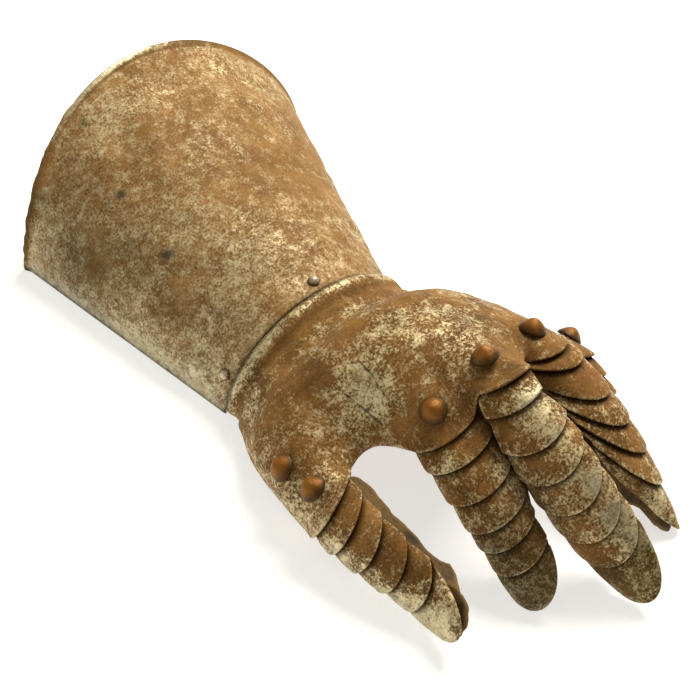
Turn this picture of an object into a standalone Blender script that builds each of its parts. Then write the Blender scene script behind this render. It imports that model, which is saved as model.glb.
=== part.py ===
"""Armoured gauntlet for the left hand.

It lies palm down: the free edges of the cuff and the tips of the fingers and thumb rest on
the floor, the fingers point to -Y, the thumb is on the -X side and the back of the hand faces
+Z. Sheet-steel plates are open surfaces with Solidify, every finger is a chain of arched
lames that overlap like roof slates, and a leather strip runs under each chain. Lengths below
are in millimetres and angles in degrees.
"""
import math
from dataclasses import dataclass

import bpy
import numpy as np
from mathutils import Vector

MM = 0.001

# Sheet and leather
PLATE_THICKNESS = 1.2
LAME_THICKNESS = 0.9
LEATHER_THICKNESS = 1.6
CLEARANCE = 0.35

# Cuff: half a cone, with elliptical sections from the wrist (y = 0) to the rim
CUFF_LENGTH = 127.0
CUFF_BACK_EXTRA = 28.0
WRIST_CENTRE = (-17.3, 1.7)
WRIST_HALF_WIDTH = 49.2
WRIST_HEIGHT = 42.2
RIM_CENTRE = (1.5, 2.5)
RIM_HALF_WIDTH = 82.6
RIM_HEIGHT = 62.0
CUFF_EDGE_DROP = 2.3
RIM_LIP_LENGTH = 3.0
RIM_LIP_FLARE = 1.4
CUFF_ROWS = 7
CUFF_COLUMNS = 26

# Hand plate: its wrist end is tucked under the cuff; rows are shares of the way to the front
TUCK = 12.0
TUCK_CLEARANCE = 0.7
PLATE_ROWS = (0.0, 0.022, 0.042, 0.06, 0.08, 0.1, 0.125, 0.16, 0.21, 0.27, 0.35, 0.44, 0.55, 0.66, 0.77,
              0.86, 0.93, 1.0)
WRIST_SPREAD = 0.8
WRIST_RISE = 0.72
WRIST_PULL = 1.65
FRONT_PULL = 0.25
PLATE_EDGE_ANGLE = 8.0
LOBE_COLUMNS = 7
LOBE_BLEND = 0.09
LOBE_EDGE_BLEND = 0.004
LOBE_FADE = 4.3

# Relief of the hand plate: distances from the cuff's edge
COLLAR_CENTRE = 5.5
COLLAR_HALF_WIDTH = 4.5
COLLAR_HEIGHT = 3.0
COLLAR_START = 2.0
GROOVE_CENTRE = 11.5
GROOVE_HALF_WIDTH = 2.5
GROOVE_DEPTH = 0.8
VALLEY_CENTRE = 19.5
VALLEY_HALF_WIDTH = 8.8
VALLEY_DEPTH = 6.0
VALLEY_SHARE = 0.58
VALLEY_SPAN = 0.47

# Web between the thumb's lobe and the first finger's lobe
WEB = ((-57.0, -70.0, 27.0), (-51.0, -72.0, 31.0), (-46.0, -77.0, 32.0))
WEB_HEADING = (0.1, -0.95, 0.1)

# Lames
OVERLAP = 7.0
LAME_FLARE = 0.6
LAME_COLUMNS = 8
LAME_BULGE = 0.3
TIP_BULGE = 1.0
TIP_SHARPNESS = 0.8
WRAP_FADE = 0.4

# Leather strips
STRIP_DEPTHS = (1.7, 2.0, 3.6)
STRIP_LAST_PLACE = 8.5
STRIP_UNDER_LAME = 2.2
STRIP_TIP_INSET = 3.2

# Rivets: radius and height of the head, radius and length of the shank. The head's outline is
# given in shares of its radius and height, from the middle of the top to its rim
DOME_OUTLINE = ((0.0, 1.0), (0.34, 0.93), (0.66, 0.66), (0.90, 0.30), (1.0, 0.0))
DOME = (5.4, 5.2)
DOME_SHANK = (1.5, 5.0)
WRIST_DOME = (2.8, 1.9)
WRIST_SHANK = (1.2, 5.0)
WRIST_RIVET_ANGLES = (158.0, 90.0, 22.0)
WRIST_RIVET_SETBACK = 4.5
RIVET_SIDES = 10
DRILL_DEPTH = 4.0

# Finishes: colour, roughness and metallic value
CUFF_STEEL = ((0.24, 0.13, 0.05), 0.5, 0.8)
PLATE_STEEL = ((0.22, 0.11, 0.04), 0.5, 0.8)
LAME_STEEL = ((0.21, 0.12, 0.05), 0.45, 0.8)
TIP_STEEL = ((0.16, 0.11, 0.04), 0.5, 0.8)
RIVET_STEEL = ((0.32, 0.25, 0.15), 0.4, 0.9)
COPPER = ((0.30, 0.12, 0.03), 0.4, 0.9)
LEATHER = ((0.035, 0.025, 0.012), 0.8, 0.0)


@dataclass(frozen=True)
class Finger:
    """One finger: its first frame, how each next lame turns, and the sizes of the lames."""

    name: str
    root: tuple          # axis point under the end of the hand plate's lobe
    yaw: float           # heading, 0 is -Y, positive towards +X
    pitch: float         # downward slope of the first frame
    roll: float          # tilt of the back towards +X
    bend: tuple          # downward turn at the first and last lame
    side: float          # sideways turn at every lame
    twist: float         # added roll at every lame
    steps: tuple         # distances between the ends of the lames
    half_width: tuple    # at the lobe, at the last lame before the tip, at the tip
    height: tuple
    sweep: tuple         # how far the end of a lame stands ahead of its sides
    lobe: tuple          # angles between which the hand plate forms the lobe
    wrap: tuple          # angles between which the first lame wraps the finger
    tip_wrap: tuple      # and the last one
    rivets: tuple        # distance behind the lobe's end and share of the way across it
    strip_start: float   # distance behind the lobe's end where the leather strip starts
    strip_tip: tuple     # how far the strip ends behind the tip, and its share of the sweep
    strip_reach: tuple   # how far the strip hangs below the lames, thumb side and other side


FINGERS = (
    Finger("thumb", (-77, -85, 17), -7, -1, -58, (8.5, -0.5), 0, -2, (9.5, 11, 12.5, 12, 19),
           (15.5, 12.5, 11), (12, 8, 12), (11, 8.5, 24.5), (180, 20), (180, 0), (172, 0),
           ((29.0, 0.6), (11.0, 0.72)), 36.0, (2.5, 0.78), (0.5, 5)),
    Finger("index", (-29, -95, 38), -7, 17, -30, (4, 4), -1.5, -4.5, (10.5, 14, 12, 8, 10, 16.5),
           (16.5, 12, 11.5), (12, 11.5, 10), (9.5, 6.5, 19), (165, 45), (180, 0), (180, 0),
           ((13.0, 0.63),), 21.0, (2.5, 0.95), (4, 3)),
    Finger("middle", (-6, -99, 55), -11, 11, -19, (7, 7), 1, -5.5, (10, 16, 12.5, 13, 13, 12.5, 20),
           (16, 15, 12.5), (13.5, 10, 12.5), (10, 14.5, 23), (140, 45), (150, 45), (170, 0),
           ((15.0, 0.66),), 21.0, (2.5, 0.9), (1, 1)),
    Finger("ring", (31, -92, 41), 4, 11, -3, (8.5, 2.5), -0.5, 7, (7, 15.5, 12.5, 12.5, 14.5, 20.5),
           (13.5, 17.5, 9), (13.5, 15.5, 15), (15.5, 29, 28.5), (150, 40), (160, 44), (178, 38),
           ((16.0, 0.5),), 21.0, (1.0, 1.0), (8, 1)),
    Finger("little", (51, -90.5, 26), 12, 33, 46, (3.5, -2), -1, -6, (9.5, 8.5, 8, 8, 8, 12),
           (12.5, 9.5, 9), (12, 9, 8.5), (9, 9, 15.5), (160, 8), (150, 42), (150, 16),
           ((12.5, 0.5),), 21.0, (5.0, 0.8), (0.5, 0)),
)


def unit(vector):
    """Return the vector, or each row of vectors, scaled to length one."""
    return vector / np.linalg.norm(vector, axis=-1, keepdims=True)


def finger_frames(finger):
    """Return origin, across, forward and back-of-hand vectors for the lobe and every lame."""
    yaw, pitch, roll = np.radians((finger.yaw, finger.pitch, finger.roll))
    level = np.array((math.cos(yaw), math.sin(yaw), 0.0))
    heading = np.array((math.sin(yaw), -math.cos(yaw), 0.0))
    up = np.array((0.0, 0.0, 1.0))
    forward = heading * math.cos(pitch) - up * math.sin(pitch)
    back = heading * math.sin(pitch) + up * math.cos(pitch)
    across = level * math.cos(roll) - back * math.sin(roll)
    back = back * math.cos(roll) + level * math.sin(roll)
    origin = np.array(finger.root, float)
    frames = [(origin, across, forward, back)]
    bends = np.radians(np.linspace(*finger.bend, len(finger.steps)))
    side, twist = np.radians((finger.side, finger.twist))
    for bend, step in zip(bends, finger.steps):
        forward, back = turned(forward, -back, bend)
        back = -back
        forward, across = turned(forward, across, side)
        across, back = turned(across, -back, twist)
        back = -back
        origin = origin + forward * step
        frames.append((origin, across, forward, back))
    return frames


def turned(first, second, angle):
    """Turn a pair of perpendicular vectors in their own plane, the first towards the second."""
    cos, sin = math.cos(angle), math.sin(angle)
    return first * cos + second * sin, second * cos - first * sin


def lame_sizes(finger, index):
    """Return half width, height and sweep at the end of a lame; 0 is the hand plate's lobe."""
    last = len(finger.steps)
    if index == last:
        return finger.half_width[2], finger.height[2], finger.sweep[2]
    share = index / (last - 1)
    return tuple(sizes[0] + (sizes[1] - sizes[0]) * share
                 for sizes in (finger.half_width, finger.height, finger.sweep))


def end_curve(finger, frames, index, angles, inset=0.0, setback=0.0, sweep_share=1.0):
    """Return the points of a lame's free edge at the given angles round the arch."""
    origin, across, forward, back = frames[index]
    half_width, height, sweep = lame_sizes(finger, index)
    power = TIP_SHARPNESS if index == len(finger.steps) else 1.0
    ahead = sweep * sweep_share * (np.clip(np.sin(angles), 0.0, 1.0) ** power - 1.0) - setback
    return (origin
            + np.outer((half_width - inset) * np.cos(angles), across)
            + np.outer((height - inset) * np.sin(angles), back)
            + np.outer(ahead, forward))


def row_behind(grid, distance):
    """Return the points that lie a distance behind the front edge, measured down each column."""
    row = []
    for column in grid[::-1].transpose(1, 0, 2):
        steps = np.linalg.norm(np.diff(column, axis=0), axis=1)
        reach = np.concatenate(((0.0,), np.cumsum(steps)))
        row.append([np.interp(distance, reach, column[:, axis]) for axis in range(3)])
    return np.array(row)


def lobe_grid(finger, frames, columns):
    """Return the hand plate's surface over a finger, carried on round the arch past the lobe."""
    start, stop = np.radians(finger.lobe)
    angles = wrap_angles(finger, 1)
    held = np.clip(angles, stop, start)
    places = (start - held) / (start - stop) * (LOBE_COLUMNS - 1)
    low = np.minimum(places.astype(int), LOBE_COLUMNS - 2)
    part = (places - low)[:, None]
    beyond = end_curve(finger, frames, 0, angles) - end_curve(finger, frames, 0, held)
    return columns[:, low] * (1 - part) + columns[:, low + 1] * part + beyond


def wrap_angles(finger, index):
    """Return the angles of a lame's columns round the finger."""
    share = WRAP_FADE ** (index - 1)
    start, stop = np.array(finger.wrap) * share + np.array(finger.tip_wrap) * (1 - share)
    return np.radians(np.linspace(start, stop, LAME_COLUMNS + 1))


def lame_grids(finger, frames, lobe):
    """Return the outer surface of every lame, each tucked under the one before it."""
    grids = []
    parent, thickness = lobe, PLATE_THICKNESS
    last = len(finger.steps)
    for index in range(1, last + 1):
        depth = thickness + CLEARANCE
        pair = np.array((row_behind(parent, OVERLAP), parent[-1]))
        inward = grid_normals(pair)
        rear = pair[0] - inward[0] * depth
        under = pair[1] - inward[1] * (depth + LAME_FLARE)
        end = end_curve(finger, frames, index, wrap_angles(finger, index))
        outward = grid_normals(np.array((under, end))).mean(axis=0)
        bulge = TIP_BULGE if index == last else LAME_BULGE
        middle = (under + end) / 2 + outward * bulge
        parent, thickness = np.array((rear, under, middle, end)), LAME_THICKNESS
        grids.append(parent)
    return grids


def strip_grid(finger, frames, lobe, lames):
    """Return the outer surface of a leather strip, from under the hand plate to the tip."""
    normals = grid_normals(lobe)
    rows = []
    for place, depth in zip(np.linspace(finger.strip_start, STRIP_LAST_PLACE, 3), STRIP_DEPTHS):
        rows.append(row_behind(lobe - normals * depth, place))
    for index, lame in enumerate(lames, 1):
        row = lame[1] - grid_normals(lame)[1] * STRIP_UNDER_LAME
        rows.append(hung_row(row, frames[index - 1][3], finger.strip_reach))
    last = len(lames)
    tip = end_curve(finger, frames, last, wrap_angles(finger, last), STRIP_TIP_INSET,
                    *finger.strip_tip)
    rows.append(hung_row(tip, frames[-1][3], finger.strip_reach))
    return np.array(rows)


def hung_row(row, back, reach):
    """Let both ends of a strip's row hang further down."""
    row = row.copy()
    row[0] -= back * reach[0]
    row[-1] -= back * reach[1]
    return row


def cuff_section(y, angles, outward=0.0):
    """Return points of the cuff's outer surface at a distance from the wrist."""
    share = y / CUFF_LENGTH
    x_centre = WRIST_CENTRE[0] + (RIM_CENTRE[0] - WRIST_CENTRE[0]) * share
    z_centre = WRIST_CENTRE[1] + (RIM_CENTRE[1] - WRIST_CENTRE[1]) * share
    half_width = WRIST_HALF_WIDTH + (RIM_HALF_WIDTH - WRIST_HALF_WIDTH) * share + outward
    height = WRIST_HEIGHT + (RIM_HEIGHT - WRIST_HEIGHT) * share + outward
    return np.stack((x_centre + half_width * np.cos(angles), y + 0.0 * angles,
                     z_centre + height * np.sin(angles)), -1)


def cuff_grid():
    """Return the cuff's outer surface with a small lip turned out at the rim."""
    drop = math.radians(CUFF_EDGE_DROP)
    angles = np.linspace(math.pi + drop, -drop, CUFF_COLUMNS + 1)
    length = CUFF_LENGTH + CUFF_BACK_EXTRA * np.clip(np.sin(angles), 0.0, None) ** 2
    shares = np.linspace(0.0, 1.0, CUFF_ROWS)
    rows = [cuff_section(share * (length - RIM_LIP_LENGTH), angles) for share in shares]
    rows.append(cuff_section(length, angles, RIM_LIP_FLARE))
    return np.array(rows)


def plate_front():
    """Return the hand plate's front edge and its forward directions, thumb side first."""
    points, directions = [], []
    for finger in FINGERS:
        frames = finger_frames(finger)
        start, stop = np.radians(finger.lobe)
        angles = np.linspace(start, stop, LOBE_COLUMNS)
        points.extend(end_curve(finger, frames, 0, angles))
        directions.extend([frames[0][2]] * len(angles))
        if finger.name == "thumb":
            points.extend(np.array(WEB))
            directions.extend([np.array(WEB_HEADING)] * len(WEB))
    return np.array(points), unit(np.array(directions))


def plate_grid():
    """Return the hand plate's outer surface: smooth columns from the wrist to the front edge."""
    front, ahead = plate_front()
    steps = np.linalg.norm(np.diff(front, axis=0), axis=1)
    along = np.concatenate(((0.0,), np.cumsum(steps))) / steps.sum()
    edge = math.radians(PLATE_EDGE_ANGLE)
    angles = math.pi - edge - (math.pi - 2 * edge) * along
    inset = PLATE_THICKNESS + TUCK_CLEARANCE
    wrist = cuff_section(0.0, angles, -inset)
    leave = np.stack((WRIST_SPREAD * np.cos(angles), -np.ones_like(angles), WRIST_RISE * np.sin(angles)), -1)
    width = LOBE_BLEND * np.sqrt(np.clip(np.sin(math.pi * along), 0.0, 1.0)) + LOBE_EDGE_BLEND
    spread = np.exp(-0.5 * ((along[:, None] - along[None, :]) / width[:, None]) ** 2)
    spread /= spread.sum(axis=1, keepdims=True)
    even = spread @ front
    reach = np.linalg.norm(even - wrist, axis=1, keepdims=True)
    rows = [cuff_section(TUCK, angles, -inset)]
    for share in PLATE_ROWS:
        a = 2 * share**3 - 3 * share**2 + 1
        b = share**3 - 2 * share**2 + share
        c = 3 * share**2 - 2 * share**3
        d = share**3 - share**2
        row = a * wrist + c * even + reach * (b * WRIST_PULL * unit(leave) + d * FRONT_PULL * ahead)
        rows.append(row + (front - even) * share ** LOBE_FADE)
    grid = np.array(rows)
    return grid + grid_normals(grid) * plate_relief(-grid[..., 1], along)[..., None]


def bump(distance, centre, half_width):
    """Return a smooth bump of height one round a centre."""
    return np.exp(-((distance - centre) / half_width) ** 2)


def plate_relief(distance, along):
    """Return the height of the hand plate's relief at each distance from the wrist seam."""
    collar = COLLAR_HEIGHT * bump(distance, COLLAR_CENTRE, COLLAR_HALF_WIDTH)
    groove = GROOVE_DEPTH * bump(distance, GROOVE_CENTRE, GROOVE_HALF_WIDTH)
    valley = VALLEY_DEPTH * bump(distance, VALLEY_CENTRE, VALLEY_HALF_WIDTH)
    start = np.clip(distance / COLLAR_START, 0.0, 1.0)
    return start * (collar - groove - valley * bump(along, VALLEY_SHARE, VALLEY_SPAN))


def grid_normals(grid):
    """Return the outward unit normals of a grid of surface points."""
    return unit(np.cross(np.gradient(grid, axis=0), np.gradient(grid, axis=1)))


def new_material(name, finish):
    """Return a Principled material of one of the finishes."""
    colour, roughness, metallic = finish
    material = bpy.data.materials.new(name)
    material.diffuse_color = (*colour, 1.0)
    material.use_nodes = True
    shader = material.node_tree.nodes["Principled BSDF"]
    shader.inputs["Base Color"].default_value = (*colour, 1.0)
    shader.inputs["Roughness"].default_value = roughness
    shader.inputs["Metallic"].default_value = metallic
    return material


def place_in(collection, base, thing):
    """Link an object to a collection and hang it on the gauntlet's origin."""
    for owner in list(thing.users_collection):
        owner.objects.unlink(thing)
    collection.objects.link(thing)
    thing.parent = base


def add_shell(name, grid, thickness, finish):
    """Make an open surface from a grid of outer points and thicken it inwards."""
    rows, columns = grid.shape[:2]
    points = [tuple(point * MM) for point in grid.reshape(-1, 3)]
    faces = [(r * columns + c, (r + 1) * columns + c, (r + 1) * columns + c + 1, r * columns + c + 1)
             for r in range(rows - 1) for c in range(columns - 1)]
    mesh = bpy.data.meshes.new(name)
    mesh.from_pydata(points, [], faces)
    mesh.materials.append(new_material(name, finish))
    shell = bpy.data.objects.new(name, mesh)
    solidify = shell.modifiers.new("Thickness", "SOLIDIFY")
    solidify.thickness = thickness * MM
    solidify.offset = -1.0
    solidify.use_even_offset = True
    return shell


def add_rivet(name, place, axis, head, shank, finish):
    """Make a domed rivet, a turned profile, standing on a surface point."""
    radius, height = head
    stem, length = shank
    dome = [(radius * across, height * up) for across, up in DOME_OUTLINE]
    outline = dome + [(stem, 0.0), (stem, -length), (0.0, -length)]
    mesh = bpy.data.meshes.new(name)
    edges = [(index, index + 1) for index in range(len(outline) - 1)]
    mesh.from_pydata([(x * MM, 0.0, z * MM) for x, z in outline], edges, [])
    mesh.materials.append(new_material(name, finish))
    rivet = bpy.data.objects.new(name, mesh)
    screw = rivet.modifiers.new("Turned", "SCREW")
    screw.steps = RIVET_SIDES
    screw.render_steps = RIVET_SIDES
    screw.use_merge_vertices = True
    screw.merge_threshold = 0.00001
    rivet.location = Vector(place + axis * CLEARANCE) * MM
    rivet.rotation_euler = Vector(axis).to_track_quat("Z", "Y").to_euler()
    return rivet


def add_cutter(rivet, shank):
    """Make the drill that clears a rivet's shank."""
    radius, length = shank
    bpy.ops.mesh.primitive_cylinder_add(vertices=RIVET_SIDES, radius=(radius + CLEARANCE) * MM,
                                        depth=DRILL_DEPTH * length * MM,
                                        location=rivet.location, rotation=rivet.rotation_euler)
    cutter = bpy.context.active_object
    cutter.name = f"{rivet.name}_drill"
    cutter.display_type = "WIRE"
    cutter.hide_render = True
    return cutter


def drill(target, cutter):
    """Cut one shank's hole through a plate, the cuff or a strip."""
    hole = target.modifiers.new(cutter.name, "BOOLEAN")
    hole.operation = "DIFFERENCE"
    hole.solver = "EXACT"
    hole.object = cutter


def cuff_normal(y, angle):
    """Return the cuff's outward normal at one point."""
    step = 0.01
    angles = np.array((angle - step, angle + step))
    across = cuff_section(y, angles)
    along = cuff_section(np.array((y - step, y + step)), np.array((angle, angle)))
    return unit(np.cross(along[1] - along[0], across[1] - across[0]))


def surface_point(columns, distance, across):
    """Return a point of a lobe and its normal, at a distance behind the end and a share across."""
    row = row_behind(columns, distance)
    above = row_behind(columns + grid_normals(columns), distance)
    place = across * (LOBE_COLUMNS - 1)
    low = int(place)
    part = place - low
    point = row[low] * (1 - part) + row[low + 1] * part
    return point, unit(above[low] * (1 - part) + above[low + 1] * part - point)


def seat(columns, distance, across, radius):
    """Return the place and axis of a rivet head that stands clear of the surface all round."""
    place, axis = surface_point(columns, distance, across)
    width = np.linalg.norm(columns[-1, 0] - columns[-1, -1])
    reach = radius / width
    around = [surface_point(columns, distance + radius * math.sin(turn),
                            np.clip(across + reach * math.cos(turn), 0.0, 0.999))
              for turn in np.linspace(0.0, 2 * math.pi, RIVET_SIDES, endpoint=False)]
    axis = unit(axis + sum(normal for _, normal in around))
    lift = max(0.0, max(float((point - place) @ axis) for point, _ in around))
    return place + axis * lift, axis


def build_cuff_and_plate(parts, base):
    """Make the cuff and the hand plate; return both objects and the hand plate's grid."""
    cuff = add_shell("cuff", cuff_grid(), PLATE_THICKNESS, CUFF_STEEL)
    place_in(parts, base, cuff)
    grid = plate_grid()
    plate = add_shell("hand_plate", grid, PLATE_THICKNESS, PLATE_STEEL)
    place_in(parts, base, plate)
    return cuff, plate, grid


def build_finger(finger, plate, columns, parts, cutters, base):
    """Make a finger's lames, leather strip and rivets; columns are the hand plate's lobe."""
    frames = finger_frames(finger)
    lobe = lobe_grid(finger, frames, columns)
    lames = lame_grids(finger, frames, lobe)
    for index, lame in enumerate(lames, 1):
        finish = TIP_STEEL if index == len(lames) else LAME_STEEL
        place_in(parts, base, add_shell(f"{finger.name}_lame_{index}", lame, LAME_THICKNESS, finish))
    strip = add_shell(f"{finger.name}_strip", strip_grid(finger, frames, lobe, lames),
                      LEATHER_THICKNESS, LEATHER)
    place_in(parts, base, strip)
    for number, (distance, across) in enumerate(finger.rivets, 1):
        place, axis = seat(columns, distance, across, DOME[0])
        rivet = add_rivet(f"{finger.name}_rivet_{number}", place, axis, DOME, DOME_SHANK, COPPER)
        place_in(parts, base, rivet)
        cutter = add_cutter(rivet, DOME_SHANK)
        place_in(cutters, base, cutter)
        drill(plate, cutter)
        drill(strip, cutter)


def build_wrist_rivets(cuff, plate, parts, cutters, base):
    """Make the rivets that hold the hand plate under the cuff."""
    for number, turn in enumerate(WRIST_RIVET_ANGLES, 1):
        angle = math.radians(turn)
        inside = cuff_section(WRIST_RIVET_SETBACK, np.array([angle]))[0]
        axis = cuff_normal(WRIST_RIVET_SETBACK, angle)
        place = inside + axis * PLATE_THICKNESS
        rivet = add_rivet(f"wrist_rivet_{number}", place, axis, WRIST_DOME, WRIST_SHANK, RIVET_STEEL)
        place_in(parts, base, rivet)
        cutter = add_cutter(rivet, WRIST_SHANK)
        place_in(cutters, base, cutter)
        drill(cuff, cutter)
        drill(plate, cutter)


def centre_base(parts, base):
    """Move the base so that the origin is under the middle of the finished gauntlet."""
    graph = bpy.context.evaluated_depsgraph_get()
    corners = []
    for part in parts.objects:
        evaluated = part.evaluated_get(graph)
        places = [evaluated.matrix_world @ vertex.co for vertex in evaluated.data.vertices]
        corners.append(np.array(places).min(axis=0))
        corners.append(np.array(places).max(axis=0))
    low, high = np.min(corners, axis=0), np.max(corners, axis=0)
    base.location = (-(low[0] + high[0]) / 2, -(low[1] + high[1]) / 2, -low[2])


def main():
    """Build the gauntlet."""
    for old in list(bpy.data.objects):
        bpy.data.objects.remove(old, do_unlink=True)
    parts = bpy.data.collections.new("armoured_gauntlet")
    cutters = bpy.data.collections.new("drills")
    for collection in (parts, cutters):
        bpy.context.scene.collection.children.link(collection)
    base = bpy.data.objects.new("gauntlet_origin", None)
    bpy.context.scene.collection.objects.link(base)
    cuff, plate, grid = build_cuff_and_plate(parts, base)
    first = 0
    for finger in FINGERS:
        columns = grid[:, first:first + LOBE_COLUMNS]
        build_finger(finger, plate, columns, parts, cutters, base)
        first += LOBE_COLUMNS + (len(WEB) if finger.name == "thumb" else 0)
    build_wrist_rivets(cuff, plate, parts, cutters, base)
    centre_base(parts, base)


main()
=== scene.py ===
"""Dress the armoured gauntlet: forged plates with a rust patina, copper rivets and old leather.

Every piece follows the form of the solid that it replaces, at a finer pitch, with rounded rims,
hammered faces and ragged leather. Lengths are in millimetres until a mesh is made, and angles
are in degrees until they are used. The fingers point to -Y and the thumb to -X.
"""
import logging
import math
from dataclasses import dataclass, field
from enum import Enum
from functools import partialmethod

import bpy
import numpy as np
from bpy.types import ID, Material, Mesh, Node, NodeSocket, NodeTree, Object
from mathutils import Matrix, Vector


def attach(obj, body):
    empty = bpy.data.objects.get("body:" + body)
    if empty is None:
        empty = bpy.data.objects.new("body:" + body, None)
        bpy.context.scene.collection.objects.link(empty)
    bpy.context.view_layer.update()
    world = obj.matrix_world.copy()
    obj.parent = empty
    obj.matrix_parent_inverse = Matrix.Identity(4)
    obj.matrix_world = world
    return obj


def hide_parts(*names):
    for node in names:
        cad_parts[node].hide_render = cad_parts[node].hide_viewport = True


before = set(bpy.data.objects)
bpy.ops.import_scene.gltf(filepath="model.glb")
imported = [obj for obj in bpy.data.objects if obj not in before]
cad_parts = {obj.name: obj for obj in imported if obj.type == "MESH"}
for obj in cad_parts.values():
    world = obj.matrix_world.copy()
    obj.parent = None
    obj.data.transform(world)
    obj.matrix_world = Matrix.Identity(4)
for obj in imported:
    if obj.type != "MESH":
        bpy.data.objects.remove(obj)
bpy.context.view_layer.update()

LOG = logging.getLogger("gauntlet")

MM = 0.001
SEAM_ORIGIN = np.array((1.688, 14.968, 0.044))  # the wrist seam's plane in the part's frame
CLEARANCE = 0.35
PLATE_THICKNESS = 1.2
LAME_THICKNESS = 0.9
LEATHER_THICKNESS = 1.6
WELD = 0.01          # points of a rivet head that are nearer than this become one
NO_ROOT = 9.0        # the mark of points that are far from where a plate goes under another

Colour = tuple[float, float, float]
Pair = tuple[float, float]
Triple = tuple[float, float, float]


# ---------------- grids of points

def unit(vectors: np.ndarray) -> np.ndarray:
    """Return the vectors scaled to length one."""
    return vectors / np.maximum(np.linalg.norm(vectors, axis=-1, keepdims=True), 1e-12)


def grid_normals(grid: np.ndarray) -> np.ndarray:
    """Return the outward unit normals of a grid of surface points."""
    return unit(np.cross(np.gradient(grid, axis=0), np.gradient(grid, axis=1)))


def resample(rows: np.ndarray, places: np.ndarray) -> np.ndarray:
    """Read a smooth curve through the rows.

    Args:
        rows: points or values along the first axis.
        places: positions between the rows, in rows from the first.

    Returns:
        One row for each place.
    """
    low = np.clip(np.floor(places).astype(int), 0, len(rows) - 2)
    part = (places - low).reshape((-1,) + (1,) * (rows.ndim - 1))
    padded = np.concatenate((2 * rows[:1] - rows[1:2], rows, 2 * rows[-1:] - rows[-2:-1]))
    a, b, c, d = (padded[low + shift] for shift in range(4))
    return b + 0.5 * part * (c - a + part * (2 * a - 5 * b + 4 * c - d + part * (3 * (b - c) + d - a)))


def reach(grid: np.ndarray) -> np.ndarray:
    """Return the distance of every point from the first row, measured down its column."""
    steps = np.linalg.norm(np.diff(grid, axis=0), axis=-1)
    return np.concatenate((np.zeros_like(steps[:1]), np.cumsum(steps, axis=0)))


def side_distance(grid: np.ndarray) -> np.ndarray:
    """Return the distance of every point from the nearer side."""
    across = grid.transpose(1, 0, 2)
    return np.minimum(reach(across), reach(across[::-1])[::-1]).T


def front_distance(grid: np.ndarray) -> np.ndarray:
    """Return the distance of every point from the front edge, measured down its column."""
    return reach(grid[::-1])[::-1]


def edge_distance(grid: np.ndarray) -> np.ndarray:
    """Return the distance of every point from the front edge or the nearer side."""
    return np.minimum(front_distance(grid), side_distance(grid))


def row_behind(grid: np.ndarray, distance: float) -> np.ndarray:
    """Trace a line at a distance behind the front edge.

    Args:
        grid: the surface.
        distance: how far behind, measured down every column.

    Returns:
        One point for each column.
    """
    back = grid[::-1]
    along = reach(back)
    return np.array([[np.interp(distance, along[:, c], back[:, c, axis]) for axis in range(3)]
                     for c in range(grid.shape[1])])


def fading(distance: np.ndarray, border: float) -> np.ndarray:
    """Return 0 at an edge, rising to 1 at the border's distance from it."""
    return np.clip(distance / border, 0.0, 1.0)


def low_share(grid: np.ndarray, height: float) -> np.ndarray:
    """Return 1 on the ground, falling to 0 at a height, on the thumb's side only."""
    return np.clip(1.0 - grid[..., 2] / height, 0.0, 1.0) * (grid[..., 0] < 0.0)


def bump(distance: np.ndarray, centre: float, half_width: float) -> np.ndarray:
    """Return a smooth bump of height one round a centre."""
    return np.exp(-((distance - centre) / half_width) ** 2)


class Hammering:
    """Shallow dents left by the hammer: one fixed field of plane waves for all plates."""

    def __init__(self, seed: int, shortest: float, longest: float, waves: int = 26) -> None:
        """Draw the waves' directions, lengths and phases.

        Args:
            seed: fixes the draw.
            shortest: the shortest wave, in millimetres.
            longest: the longest wave.
            waves: how many there are.
        """
        draw = np.random.default_rng(seed)
        lengths = np.exp(draw.uniform(math.log(shortest), math.log(longest), waves))
        self.pull = unit(draw.normal(size=(waves, 3))) * (2 * math.pi / lengths)[:, None]
        self.phase = draw.uniform(0.0, 2 * math.pi, waves)
        self.share = lengths / np.linalg.norm(lengths)

    def depth(self, points: np.ndarray) -> np.ndarray:
        """Return the field's height at the points, about one at its peaks."""
        return (np.sin(points @ self.pull.T + self.phase) * self.share).sum(axis=-1)


DENTS = Hammering(seed=11, shortest=9.0, longest=30.0)
FRAYS = Hammering(seed=5, shortest=2.2, longest=12.0)


def dented(grid: np.ndarray, behind: np.ndarray, depth: float, border: float) -> np.ndarray:
    """Hammer a surface, but leave its edges calm.

    Args:
        grid: the surface.
        behind: the distance of its points from the edge at its back.
        depth: the depth of the dents.
        border: how far from an edge they fade out.

    Returns:
        The hammered surface.
    """
    calm = fading(edge_distance(grid), border) * fading(behind, border)
    return grid + grid_normals(grid) * (depth * DENTS.depth(grid) * calm)[..., None]


@dataclass(frozen=True)
class Scratch:
    """A thin dark line cut into a plate, between two points of the part's frame."""

    start: Triple
    end: Triple
    width: float


@dataclass(frozen=True)
class Patch:
    """A round area where the surface is more worn, or less, or darker from a stain or from painted shade."""

    x: float             # its centre in the part's frame
    y: float
    z: float
    radius: float
    amount: float

    def at(self, points: np.ndarray) -> np.ndarray:
        """Return the patch's amount at points given from the wrist seam."""
        away = points + SEAM_ORIGIN - np.array((self.x, self.y, self.z))
        return self.amount * np.exp(-(away**2).sum(axis=-1) / self.radius**2)


def patches(*rows: tuple[float, ...]) -> tuple[Patch, ...]:
    """Return a patch for each row of x, y, z, radius and amount."""
    return tuple(Patch(*row) for row in rows)


def patched(points: np.ndarray, areas: tuple[Patch, ...]) -> np.ndarray:
    """Return the sum of the patches at the points."""
    return sum((area.at(points) for area in areas), np.zeros(points.shape[:-1]))


# ---------------- node trees

Value = "Field | Material | Vector | Colour | str | float"


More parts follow.
